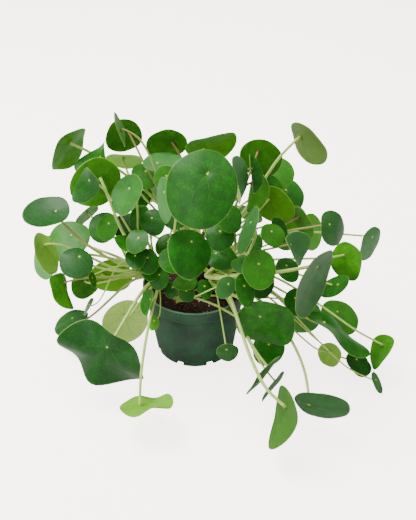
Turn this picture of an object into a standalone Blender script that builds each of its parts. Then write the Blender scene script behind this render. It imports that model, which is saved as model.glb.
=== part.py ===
"""Potted pilea: a green nursery pot, its soil, five short stems and their round peltate leaves.

Metres, +Z up, the pot stands with the middle of its base underside on the origin.
"""
import math

import bmesh
import bpy
from mathutils import Matrix, Vector
from mathutils.bvhtree import BVHTree

for old in list(bpy.data.objects):
    bpy.data.objects.remove(old, do_unlink=True)

# One drawing unit in metres. The plant was laid out round a pot 173 units across, and this makes
# that pot the common six-inch one.
UNIT = 0.00088
OBJECT_NAME = "potted_pilea"

# ---------------------------------------------------------------- driving dimensions, drawing units
POT_RIM_RADIUS = 86.5
POT_BASE_RADIUS = 66.5
POT_HEIGHT = 128.5
POT_WALL = 2.0
POT_FLOOR = 2.8
BAND_HEIGHT = 22.0
BAND_STEP = 2.6
DRAIN_HOLES = 8
DRAIN_WIDTH = 12.5
DRAIN_HEIGHT = 8.0
SOIL_LEVEL = 115.5
SOIL_GAP = 0.4
BLADE_THICKNESS = 1.1
BLADE_SIDES = 12
BLADE_RINGS = (0.50, 1.0)
LARGE_BLADE_RINGS = (0.42, 0.78, 1.0)
LARGE_BLADE = 75.0
NECK = 3.6
PETIOLE_SIDES = 6
PETIOLE_STEPS = 6
STEM_SIDES = 10
GAP = 0.4
# leaves in the thick of a crown, whose petioles are laid before the freer ones
TIGHT = ("R8", "R20", "R18")

# ---------------------------------------------------------------- stems: foot, middle, crown, radii
STEMS = {
    "left": ((-42, -12, 116), (-51, -12, 152), (-62, -10, 188), 5.5, 4.2),
    "side": ((-52, 8, 116), (-76, 2, 140), (-104, -4, 168), 5.0, 3.7),
    "right": ((24, -14, 116), (26, -12, 140), (32, -10, 168), 5.5, 4.2),
    "back": ((2, 26, 116), (8, 32, 158), (14, 38, 202), 5.5, 4.2),
    "pup": ((-30, -46, 116), (-31, -47, 124), (-33, -49, 134), 3.2, 2.4),
}

# ---------------------------------------------------------------- leaves
# name, stem, blade centre x y z (mm), length, width ratio, facing azimuth and elevation,
# roll of the tip from straight downhill (degrees), attachment offset, form
LEAVES = (
    ("L1", "back", -202, 90, 326, 86, 0.90, 145, 20, 0, 0.35, "flat"),
    ("L2", "left", -155, 56, 324, 68, 0.90, -150, 40, -40, 0.40, "saddle"),
    ("L3", "left", -150, 10, 303, 86, 0.95, 110, 5, 30, 0.35, "cup"),
    ("L4", "back", -115, 110, 340, 62, 0.95, 105, 5, 55, 0.35, "flat"),
    ("L5", "back", -113, 50, 380, 60, 0.90, -175, -15, 120, 0.40, "flat"),
    ("L6", "back", -47, 120, 321, 68, 0.90, 90, 15, 60, 0.35, "flat"),
    ("L7", "back", -50, 80, 310, 64, 0.90, -90, 85, 120, 0.35, "flat"),
    ("L8", "back", -120, 140, 280, 68, 0.90, 90, 40, 0, 0.35, "flat"),
    ("L9", "left", -98, -15, 300, 68, 0.90, -145, 45, 40, 0.40, "cup"),
    ("L10", "side", -230, 0, 258, 76, 0.92, -90, 80, -60, 0.40, "cup"),
    ("L11", "side", -215, 60, 170, 80, 0.95, -115, 65, 0, 0.30, "flat"),
    ("L12", "side", -240, 0, 185, 72, 0.90, 175, -30, 60, 0.45, "flat"),
    ("L13", "side", -258, 68, 130, 80, 0.90, -140, 25, 0, 0.30, "flat"),
    ("L14", "side", -180, -60, 210, 54, 0.95, -70, 60, -35, 0.40, "dome"),
    ("L15", "side", -205, -40, 142, 64, 0.85, 180, -30, 55, 0.40, "fold"),
    ("L16b", "side", -140, 20, 125, 74, 0.92, 100, 5, -65, 0.45, "flat"),
    ("L18", "left", -106, 10, 230, 52, 0.95, -80, 60, -150, 0.40, "flat"),
    ("L19", "left", -95, -45, 230, 64, 0.80, 80, 75, 0, 0.30, "fold"),
    ("L21", "left", -42, -10, 208, 42, 0.92, -85, 65, 0, 0.30, "flat"),
    ("L22", "left", -4, -90, 248, 78, 0.90, -50, 40, -35, 0.45, "dome"),
    ("L23", "right", 12, -110, 368, 114, 0.85, -95, 40, -20, 0.40, "dome"),
    ("L28", "back", 28, 100, 327, 84, 0.92, 100, 30, -120, 0.35, "flat"),
    ("R1", "back", 107, 80, 315, 70, 0.95, 85, 0, -25, 0.40, "flat"),
    ("R2", "back", 133, 110, 270, 68, 0.92, -90, 55, 0, 0.30, "flat"),
    ("R3", "back", 158, 130, 218, 66, 0.92, -80, 55, 0, 0.30, "flat"),
    ("R4", "back", 130, 50, 246, 70, 0.92, 70, 0, -50, 0.40, "flat"),
    ("R5", "back", 177, 60, 352, 84, 0.88, 35, 15, -80, 0.45, "flat"),
    ("R7", "back", 88, 30, 286, 76, 0.80, 20, -10, 0, 0.30, "fold"),
    ("R8", "right", 60, -30, 336, 72, 0.80, -15, 10, 0, 0.30, "fold"),
    ("R10", "back", 177, 40, 218, 58, 0.90, 30, 5, -60, 0.40, "flat"),
    ("R11", "back", 200, 90, 168, 66, 0.90, -40, 25, 0, 0.30, "flat"),
    ("R12", "right", 220, -10, 240, 62, 0.90, -40, 25, 40, 0.45, "dome"),
    ("R13", "right", 249, 20, 153, 66, 0.90, 50, -15, -25, 0.40, "cup"),
    ("R14", "right", 297, 65, 160, 62, 0.90, -45, 5, -35, 0.40, "flat"),
    ("R15", "right", 152, -60, 235, 58, 0.85, -35, 20, 30, 0.40, "fold"),
    ("R18", "right", 43, -40, 208, 54, 0.92, -90, 75, 55, 0.40, "dome"),
    ("R20", "right", 87, -95, 236, 64, 0.90, 95, 80, -75, 0.40, "dome"),
    ("R21", "right", 172, -106, 208, 110, 0.80, -40, 0, -40, 0.45, "cup"),
    ("R25", "right", 110, -130, 144, 90, 0.95, -95, 0, 35, 0.40, "wave"),
    ("R29", "right", 247, -5, 58, 70, 0.90, -65, 70, 0, 0.30, "flat"),
    ("R30", "right", 232, -75, 81, 120, 0.50, 10, 55, -40, 0.45, "wave"),
    ("R31", "right", 223, -70, 30, 45, 0.90, 65, -10, 0, 0.30, "flat"),
    ("R32", "right", 270, -85, 25, 48, 0.90, -50, 60, 0, 0.30, "flat"),
    ("R33", "right", 303, -80, 45, 62, 0.85, 5, -30, -30, 0.40, "flat"),
    ("R36", "right", 190, -215, 58, 84, 0.85, -105, -15, 100, 0.45, "wave"),
    ("R37", "right", 132, -250, 68, 94, 0.62, 15, -25, -32, 0.40, "dome"),
    ("R40", "right", 52, -132, 90, 38, 0.92, -85, -5, 15, 0.40, "flat"),
    ("B1", "side", -215, 0, 42, 70, 0.90, 170, 70, 90, 0.30, "flat"),
    ("B2", "left", -142, -142, 90, 92, 1.60, -105, 12, -26, 0.48, "wave"),
    ("M1", "right", 101, -60, 175, 56, 0.90, -80, 50, 0, 0.30, "flat"),
    ("B4", "left", -113, -60, 92, 80, 0.92, 105, -10, 0, 0.30, "flat"),
    ("B6", "left", -70, -205, 50, 80, 0.90, -75, -65, 100, 0.25, "wave"),
    ("B14", "pup", -14, -60, 172, 38, 0.92, -80, 80, -65, 0.45, "flat"),
)


# ---------------------------------------------------------------- small helpers
def collection(name):
    """A fresh collection in the scene."""
    group = bpy.data.collections.new(name)
    bpy.context.scene.collection.children.link(group)
    return group


def principled(name, hex_colour, roughness, coat=0.0):
    """A plain Principled material from an sRGB hex colour."""
    mat = bpy.data.materials.new(name)
    mat.use_nodes = True
    shader = mat.node_tree.nodes["Principled BSDF"]
    rgb = [int(hex_colour[i:i + 2], 16) / 255 for i in (1, 3, 5)]
    linear = [c / 12.92 if c <= 0.04045 else ((c + 0.055) / 1.055) ** 2.4 for c in rgb]
    shader.inputs["Base Color"].default_value = (*linear, 1.0)
    shader.inputs["Roughness"].default_value = roughness
    shader.inputs["Coat Weight"].default_value = coat
    return mat


def solid(name, verts, faces, group, mat):
    """One closed body, vertices given in drawing units, faces turned outward."""
    mesh = bpy.data.meshes.new(name)
    mesh.from_pydata([tuple(c * UNIT for c in v) for v in verts], [], faces)
    work = bmesh.new()
    work.from_mesh(mesh)
    bmesh.ops.recalc_face_normals(work, faces=work.faces)
    work.to_mesh(mesh)
    work.free()
    mesh.materials.append(mat)
    body = bpy.data.objects.new(name, mesh)
    group.objects.link(body)
    return body


def lathe(profile, sides):
    """A closed ring of profile points turned about Z; points on the axis become single points."""
    verts = []
    rows = []
    for radius, height in profile:
        if radius < 1e-6:
            rows.append([len(verts)] * sides)
            verts.append(Vector((0, 0, height)))
            continue
        rows.append(list(range(len(verts), len(verts) + sides)))
        for k in range(sides):
            turn = 2 * math.pi * k / sides
            verts.append(Vector((radius * math.cos(turn), radius * math.sin(turn), height)))
    faces = []
    for low, high in zip(rows, rows[1:]):
        for k in range(sides):
            j = (k + 1) % sides
            corners = []
            for corner in (low[k], low[j], high[j], high[k]):
                if corner not in corners:
                    corners.append(corner)
            if len(corners) > 2:
                faces.append(tuple(corners))
    return verts, faces


def frames_along(points, first_axis):
    """Directions and carried side axes along a polyline, without twist."""
    axes = []
    side = first_axis.normalized()
    for k, point in enumerate(points):
        before = points[max(k - 1, 0)]
        after = points[min(k + 1, len(points) - 1)]
        direction = (after - before).normalized()
        side = (side - direction * side.dot(direction)).normalized()
        axes.append((direction, side, direction.cross(side)))
    return axes


def ring_of(centre, side, other, radius, sides):
    """A ring of points round a centre."""
    out = []
    for k in range(sides):
        turn = 2 * math.pi * k / sides
        out.append(centre + side * (radius * math.cos(turn)) + other * (radius * math.sin(turn)))
    return out


def bezier(p0, p1, p2, p3, t):
    """A point on a cubic curve."""
    u = 1 - t
    return p0 * u ** 3 + p1 * (3 * u * u * t) + p2 * (3 * u * t * t) + p3 * t ** 3


# ---------------------------------------------------------------- pot and soil
def inner_radius(height):
    """Inside radius of the pot wall at a height."""
    return outer_radius(height) - POT_WALL


def outer_radius(height):
    """Outside radius of the tapering wall below the band."""
    foot = POT_BASE_RADIUS
    slope = (POT_RIM_RADIUS - BAND_STEP - foot) / POT_HEIGHT
    return foot + slope * height


def build_pot(group, cutters, mat):
    """Thin moulded wall with a stepped band at the rim, then the drainage notches are cut."""
    band_foot = POT_HEIGHT - BAND_HEIGHT
    lip = 3.2
    profile = [
        (0, 0),
        (POT_BASE_RADIUS - 1.0, 0),
        (POT_BASE_RADIUS, 1.0),
        (outer_radius(band_foot), band_foot),
        (POT_RIM_RADIUS - 1.2, band_foot + 1.5),
        (POT_RIM_RADIUS, POT_HEIGHT - 1.0),
        (POT_RIM_RADIUS - 1.0, POT_HEIGHT),
        (POT_RIM_RADIUS - lip + 0.6, POT_HEIGHT),
        (POT_RIM_RADIUS - lip, POT_HEIGHT - 1.0),
        (inner_radius(band_foot) + 1.0, band_foot + 2.0),
        (inner_radius(band_foot) - 0.2, band_foot - 2.0),
        (inner_radius(POT_FLOOR), POT_FLOOR),
        (0, POT_FLOOR),
    ]
    verts, faces = lathe(profile, 56)
    pot = solid("pot", verts, faces, group, mat)
    for k in range(DRAIN_HOLES):
        turn = 2 * math.pi * (k + 0.5) / DRAIN_HOLES
        cutter = drain_cutter(turn, k, cutters)
        cut = pot.modifiers.new(f"drain_{k}", "BOOLEAN")
        cut.operation = "DIFFERENCE"
        cut.solver = "EXACT"
        cut.object = cutter
    return pot


def drain_cutter(turn, number, cutters):
    """A block at the bottom corner of the pot: it opens one notch through wall and floor."""
    half = DRAIN_WIDTH / 2
    inside = POT_BASE_RADIUS - 9.0
    outside = POT_BASE_RADIUS + 6.0
    verts = []
    for z in (-3.0, DRAIN_HEIGHT):
        for x, y in ((inside, -half), (outside, -half), (outside, half), (inside, half)):
            corner = Vector((x, y, z))
            verts.append(Matrix.Rotation(turn, 3, "Z") @ corner)
    faces = [(0, 1, 2, 3), (4, 5, 6, 7), (0, 1, 5, 4), (1, 2, 6, 5), (2, 3, 7, 6), (3, 0, 4, 7)]
    block = solid(f"drain_cutter_{number}", verts, faces, cutters, bpy.data.materials["pot_plastic"])
    block.hide_render = True
    block.display_type = "WIRE"
    return block


def build_soil(group, mat):
    """The root ball: it fills the pot and stands a gap off the wall and above the drain notches."""
    foot = DRAIN_HEIGHT + 1.0
    level = SOIL_LEVEL
    band_foot = POT_HEIGHT - BAND_HEIGHT
    top_radius = inner_radius(band_foot) - SOIL_GAP - 0.6
    profile = [
        (0, foot),
        (inner_radius(foot) - SOIL_GAP, foot),
        (inner_radius(band_foot - 3) - SOIL_GAP - 0.3, band_foot - 3),
        (top_radius, level - 1.5),
        (top_radius - 3, level - 0.8),
        (top_radius * 0.6, level),
        (0, level - 0.6),
    ]
    verts, faces = lathe(profile, 32)
    return solid("soil", verts, faces, group, mat)


# ---------------------------------------------------------------- stems
def stem_curve(name, t):
    """Point on a stem's middle line and its radius, t from foot to crown."""
    foot, middle, crown, wide, narrow = STEMS[name]
    a, b, c = Vector(foot), Vector(middle), Vector(crown)
    point = a * ((1 - t) ** 2) + b * (2 * t * (1 - t)) + c * (t * t)
    return point, wide + (narrow - wide) * t


def build_stem(name, group, mat):
    """A short woody stem with swollen joints and a rounded crown."""
    steps = 7
    points = [stem_curve(name, k / steps)[0] for k in range(steps + 1)]
    axes = frames_along(points, Vector((1, 0, 0)))
    verts = []
    faces = []
    for k, point in enumerate(points):
        radius = stem_curve(name, k / steps)[1] * (1.0 if k % 2 else 0.9)
        if k == steps:
            radius *= 0.5
        side, other = axes[k][1], axes[k][2]
        if k == 0:
            side = Vector((1, 0, 0))
            other = Vector((0, 1, 0))
        verts += ring_of(point, side, other, radius, STEM_SIDES)
    for k in range(steps):
        for i in range(STEM_SIDES):
            j = (i + 1) % STEM_SIDES
            low = k * STEM_SIDES
            high = low + STEM_SIDES
            faces.append((low + i, low + j, high + j, high + i))
    faces.append(tuple(range(STEM_SIDES)))
    faces.append(tuple(range(steps * STEM_SIDES, (steps + 1) * STEM_SIDES)))
    return solid("stem_" + name, verts, faces, group, mat)


# ---------------------------------------------------------------- blades
def leaf_axes(azimuth, elevation, roll):
    """Facing normal, tip direction and side direction of a blade."""
    az, el, turn = (math.radians(v) for v in (azimuth, elevation, roll))
    normal = Vector((math.cos(el) * math.cos(az), math.cos(el) * math.sin(az), math.sin(el)))
    down = Vector((0, 0, -1))
    downhill = (down - normal * down.dot(normal)).normalized()
    across = normal.cross(downhill)
    tip = downhill * math.cos(turn) + across * math.sin(turn)
    return normal, tip, normal.cross(tip)


def blade_height(form, a, b):
    """Height of the blade above its plane; a and b are in half lengths, a toward the tip."""
    rho = a * a + b * b
    if form == "dome":
        return -0.20 * rho
    if form == "cup":
        return 0.16 * rho
    if form == "saddle":
        return 0.30 * (a * a - b * b)
    if form == "fold":
        return 0.55 * abs(b) ** 1.4
    if form == "wave":
        return -0.10 * rho + 0.10 * rho * math.sin(3 * math.atan2(b, a) + 0.6)
    return -0.07 * rho


def blade_point(leaf, axes, a, b, lift):
    """A point of the blade, lift is up or down from its middle surface."""
    half = leaf[5] / 2
    centre = Vector(leaf[2:5])
    normal, tip, side = axes
    rise = blade_height(leaf[11], a, b) * half + lift
    return centre + tip * (a * half) + side * (b * half) + normal * rise


def blade_rings(leaf, axes, rings, sides, lift):
    """Rings of points from the petiole's seat out to the edge."""
    seat = -leaf[10]
    ratio = leaf[6]
    out = []
    for part in rings:
        ring = []
        for k in range(sides):
            turn = 2 * math.pi * k / sides
            edge_a = math.cos(turn)
            edge_b = ratio * math.sin(turn) * (1 - 0.06 * math.cos(turn))
            a = seat + (edge_a - seat) * part
            b = edge_b * part
            ring.append(blade_point(leaf, axes, a, b, lift))
        out.append(ring)
    return out


def rings_of(leaf):
    """Long blades are curved enough to need one more ring."""
    return LARGE_BLADE_RINGS if leaf[5] > LARGE_BLADE else BLADE_RINGS


def petiole_radius(leaf):
    """Thicker stalks carry the longer blades."""
    return 1.3 + 0.013 * leaf[5]


def seat_point(leaf, axes):
    """Middle of the petiole's seat on the underside."""
    return blade_point(leaf, axes, -leaf[10], 0, -BLADE_THICKNESS / 2)


# ---------------------------------------------------------------- petioles
def base_point(leaf, rank, count, swing, shift):
    """Where the petiole leaves its stem: the flatter the stalk, the lower the joint."""
    low, high = (0.35, 0.97) if leaf[1] != "pup" else (0.5, 0.9)
    t = min(max(low + (high - low) * rank / max(count - 1, 1) + shift, 0.2), 0.98)
    point, radius = stem_curve(leaf[1], t)
    out = Vector(leaf[2:5]) - point
    az = math.atan2(out.y, out.x) + swing
    radial = Vector((math.cos(az), math.sin(az), 0))
    along = (stem_curve(leaf[1], t + 0.02)[0] - stem_curve(leaf[1], t - 0.02)[0]).normalized()
    radial = (radial - along * radial.dot(along)).normalized()
    return point + radial * (radius + petiole_radius(leaf) + GAP), radial


def petiole_line(leaf, axes, base, radial, rise, sway, reach, count):
    """Points from the stem to the neck, a little under the blade's seat."""
    neck = seat_point(leaf, axes) - axes[0] * NECK
    chord = neck - base
    length = chord.length
    across = chord.cross(Vector((0, 0, 1))).normalized()
    start = radial * math.cos(rise) + Vector((0, 0, math.sin(rise)))
    one = base + start * (length * 0.38) + across * (sway * length)
    two = neck - axes[0] * (length * reach) - chord * 0.12 + across * (0.5 * sway * length)
    return [bezier(base, one, two, neck, k / count) for k in range(count + 1)]


def filled_in(points, spacing):
    """The same polyline with extra points, close enough together to be tested."""
    out = [points[0]]
    for before, after in zip(points, points[1:]):
        parts = max(1, math.ceil((after - before).length / spacing))
        out += [before.lerp(after, k / parts) for k in range(1, parts + 1)]
    return out


def keeps_clear(points, leaf, own_tree, stem_tree, trees, stalks):
    """True when a petiole stays off the blades, stems, pot and soil, and off other petioles."""
    radius = petiole_radius(leaf)
    need = radius + GAP + 0.9
    first = points[0]
    for point in points:
        if point.z < radius + 6:
            return False
        if own_tree.find_nearest(point * UNIT, (radius + 1.0) * UNIT)[0] is not None:
            return False
        room = need if (point - first).length > 9 else radius + 0.25
        if stem_tree.find_nearest(point * UNIT, room * UNIT)[0] is not None:
            return False
        for tree in trees:
            if tree.find_nearest(point * UNIT, need * UNIT)[0] is not None:
                return False
    for other, other_radius in stalks:
        room = radius + other_radius + GAP + 0.5
        for point in points:
            for step in other:
                if (point - step).length_squared < room * room:
                    return False
    return True


def candidate_shapes():
    """Bends tried in turn, the plain ones first."""
    out = []
    for shift in (0.0, 0.15, -0.15):
        for extra in (0.0, 0.4, -0.4, 0.9, -0.9, 1.4, -1.4):
            for rise in (35, 55, 15, 75, -5):
                for sway in (0.0, 0.10, -0.10, 0.22, -0.22, 0.35, -0.35):
                    for reach in (0.22, 0.10, 0.36):
                        cost = abs(extra) + abs(rise - 40) / 60 + abs(sway) * 3 + abs(reach - 0.22)
                        cost += abs(shift) * 3
                        out.append((cost, shift, extra, math.radians(rise), sway, reach))
    out.sort(key=lambda row: row[0])
    return out


def choose_petiole(leaf, axes, rank, count, own_tree, stem_tree, trees, stalks, shapes):
    """The first bend that keeps clear of everything grown before it."""
    for cost, shift, extra, rise, sway, reach in shapes:
        base, radial = base_point(leaf, rank, count, extra, shift)
        points = petiole_line(leaf, axes, base, radial, rise, sway, reach, PETIOLE_STEPS)
        tested = filled_in(points, 3.5)
        if keeps_clear(tested, leaf, own_tree, stem_tree, trees, stalks):
            return points
    print("no clear way for", leaf[0])
    base, radial = base_point(leaf, rank, count, 0, 0)
    return petiole_line(leaf, axes, base, radial, math.radians(35), 0, 0.22, PETIOLE_STEPS)


def blade_tree(leaf, axes):
    """Search tree of one blade's middle surface."""
    rings = blade_rings(leaf, axes, rings_of(leaf), BLADE_SIDES, 0)
    verts = [blade_point(leaf, axes, -leaf[10], 0, 0) * UNIT]
    for ring in rings:
        verts += [p * UNIT for p in ring]
    faces = []
    for k in range(BLADE_SIDES):
        j = (k + 1) % BLADE_SIDES
        faces.append((0, 1 + k, 1 + j))
        for r in range(len(rings) - 1):
            low = 1 + r * BLADE_SIDES
            high = low + BLADE_SIDES
            faces.append((low + k, low + j, high + j, high + k))
    return BVHTree.FromPolygons(verts, faces)


def build_leaf(leaf, axes, path, group, mat):
    """One closed solid: thin peltate blade and its petiole."""
    sides = BLADE_SIDES
    half = BLADE_THICKNESS / 2
    top = blade_rings(leaf, axes, rings_of(leaf), sides, half)
    low = blade_rings(leaf, axes, rings_of(leaf), sides, -half)
    verts = [blade_point(leaf, axes, -leaf[10], 0, half)]
    top_at = []
    low_at = []
    for ring in top:
        top_at.append(len(verts))
        verts += ring
    for ring in low:
        low_at.append(len(verts))
        verts += ring
    faces = []
    for k in range(sides):
        j = (k + 1) % sides
        faces.append((0, top_at[0] + k, top_at[0] + j))
        for a, b in zip(top_at, top_at[1:]):
            faces.append((a + k, b + k, b + j))
            faces.append((a + k, b + j, a + j))
        for a, b in zip(low_at, low_at[1:]):
            faces.append((a + k, b + j, b + k))
            faces.append((a + k, a + j, b + j))
        faces.append((top_at[-1] + k, low_at[-1] + k, low_at[-1] + j, top_at[-1] + j))
    radius = petiole_radius(leaf)
    seat = seat_point(leaf, axes)
    line = [seat] + list(reversed(path))
    carried = frames_along(line, axes[1])
    tube_at = [len(verts)]
    for i in range(PETIOLE_SIDES):
        toward = (low[0][i * sides // PETIOLE_SIDES] - seat).normalized()
        verts.append(seat + toward * (radius * 1.3))
    for k, point in enumerate(line[1:], 1):
        tube_at.append(len(verts))
        wide = radius * (0.8 + 0.4 * k / len(line))
        verts += ring_of(point, carried[k][1], -carried[k][2], wide, PETIOLE_SIDES)
    step = sides // PETIOLE_SIDES
    for i in range(PETIOLE_SIDES):
        j = (i + 1) % PETIOLE_SIDES
        here, there = tube_at[0] + i, tube_at[0] + j
        outer = [low_at[0] + (i * step + n) % sides for n in range(step + 1)]
        faces.append((here, outer[0], outer[1]))
        faces.append((here, outer[1], there))
        faces.append((there, outer[1], outer[2]))
        for a, b in zip(tube_at, tube_at[1:]):
            faces.append((a + i, a + j, b + j, b + i))
    faces.append(tuple(tube_at[-1] + i for i in range(PETIOLE_SIDES)))
    return solid("leaf_" + leaf[0], verts, faces, group, mat)


def body_tree(body):
    """Search tree of a finished body with its modifiers applied."""
    graph = bpy.context.evaluated_depsgraph_get()
    work = bmesh.new()
    work.from_object(body, graph)
    tree = BVHTree.FromBMesh(work)
    work.free()
    return tree


# ---------------------------------------------------------------- assembly
def build_plant(group, pot, soil, stem_mat, leaf_mat):
    """Stems first, then every blade takes its place, then the petioles find their way."""
    stems = {name: build_stem(name, group, stem_mat) for name in STEMS}
    bpy.context.view_layer.update()
    solids = {"pot": body_tree(pot), "soil": body_tree(soil)}
    solids.update({name: body_tree(body) for name, body in stems.items()})
    axes = {leaf[0]: leaf_axes(leaf[7], leaf[8], leaf[9]) for leaf in LEAVES}
    blades = {leaf[0]: blade_tree(leaf, axes[leaf[0]]) for leaf in LEAVES}
    shapes = candidate_shapes()
    stalks = []
    for name in STEMS:
        own = [leaf for leaf in LEAVES if leaf[1] == name]
        crown = stem_curve(name, 0.7)[0]
        own.sort(key=lambda leaf: slope_from(crown, seat_point(leaf, axes[leaf[0]])))
        rank_of = {leaf[0]: rank for rank, leaf in enumerate(own)}
        own.sort(key=lambda leaf: leaf[0] not in TIGHT)
        for leaf in own:
            key = leaf[0]
            rank = rank_of[key]
            trees = [tree for other, tree in solids.items() if other != name]
            trees += [tree for other, tree in blades.items() if other != key]
            mine = (blades[key], solids[name])
            path = choose_petiole(leaf, axes[key], rank, len(own), *mine, trees, stalks, shapes)
            stalks.append((filled_in(path, 3.5), petiole_radius(leaf)))
            build_leaf(leaf, axes[key], path, group, leaf_mat)


def slope_from(crown, seat):
    """Steepness of the straight way from a crown to a seat."""
    out = seat - crown
    return math.atan2(out.z, math.hypot(out.x, out.y))


def main():
    """Build the potted plant."""
    group = collection(OBJECT_NAME)
    cutters = collection("cutters")
    pot_mat = principled("pot_plastic", "#2b5441", 0.42)
    soil_mat = principled("potting_soil", "#3a2420", 0.95)
    stem_mat = principled("woody_stem", "#6a4028", 0.8)
    leaf_mat = principled("leaf_green", "#3a7a30", 0.38, 0.2)
    pot = build_pot(group, cutters, pot_mat)
    soil = build_soil(group, soil_mat)
    build_plant(group, pot, soil, stem_mat, leaf_mat)


main()
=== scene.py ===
# %% [markdown]
# # A potted pilea
#
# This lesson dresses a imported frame: a green nursery pot, its soil, five short woody stems and
# a crowd of round leaves, each standing on a long stalk that meets the blade near its middle.
# The frame already says where everything is. Here every leaf gets its skin, veins and thin
# edge, every stalk its taper, and the pot and soil their real surfaces.

# %% Load the frame
import math
from collections import namedtuple

import bmesh
import bpy
import numpy as np
from mathutils import Matrix, Vector, noise
from mathutils.bvhtree import BVHTree


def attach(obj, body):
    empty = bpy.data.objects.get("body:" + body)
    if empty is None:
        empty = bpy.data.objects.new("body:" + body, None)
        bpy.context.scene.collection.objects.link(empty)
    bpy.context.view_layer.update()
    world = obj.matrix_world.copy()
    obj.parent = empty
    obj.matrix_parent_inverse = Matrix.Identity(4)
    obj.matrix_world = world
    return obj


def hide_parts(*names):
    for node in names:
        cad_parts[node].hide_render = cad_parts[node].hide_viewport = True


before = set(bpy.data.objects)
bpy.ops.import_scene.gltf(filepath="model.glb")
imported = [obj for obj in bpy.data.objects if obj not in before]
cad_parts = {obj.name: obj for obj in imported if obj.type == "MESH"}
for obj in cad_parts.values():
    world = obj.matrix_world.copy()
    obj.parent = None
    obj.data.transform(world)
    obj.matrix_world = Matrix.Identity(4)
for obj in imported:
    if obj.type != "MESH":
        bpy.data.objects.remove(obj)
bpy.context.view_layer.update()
print("frame nodes:", len(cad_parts))

# %% [markdown]
# The plant was laid out in drawing units round a pot 173 units across, and one unit of 0.88 mm
# makes that the common six-inch pot. The same units are kept here, so the fine leaves fall
# exactly on the coarse ones of the frame. MM turns a real size in millimetres into these units.

# %% Units and stems
UNIT = 0.00088  # metres in one drawing unit
MM = 0.001 / UNIT  # drawing units in one millimetre
BLADE_THICKNESS = 1.1  # close to one millimetre
NECK = 3.6  # how far below the blade the stalk of a solid starts to bend

# foot, middle and crown of each stem, then its radius at foot and crown
STEMS = {
    "left": ((-42, -12, 116), (-51, -12, 152), (-62, -10, 188), 5.5, 4.2),
    "side": ((-52, 8, 116), (-76, 2, 140), (-104, -4, 168), 5.0, 3.7),
    "right": ((24, -14, 116), (26, -12, 140), (32, -10, 168), 5.5, 4.2),
    "back": ((2, 26, 116), (8, 32, 158), (14, 38, 202), 5.5, 4.2),
    "pup": ((-30, -46, 116), (-31, -47, 124), (-33, -49, 134), 3.2, 2.4),
}
print("stems:", len(STEMS), "and one drawing unit is", round(UNIT * 1000, 2), "mm")

# %% [markdown]
# Every leaf is one row: its name, the stem that bears it, the centre of its blade, its length
# and its width as a share of that, the way it faces, how far its tip is rolled from straight
# downhill, how far its stalk sits from the middle, and the form of its blade. These rows are
# the ones the frame's leaves were grown from.

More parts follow.
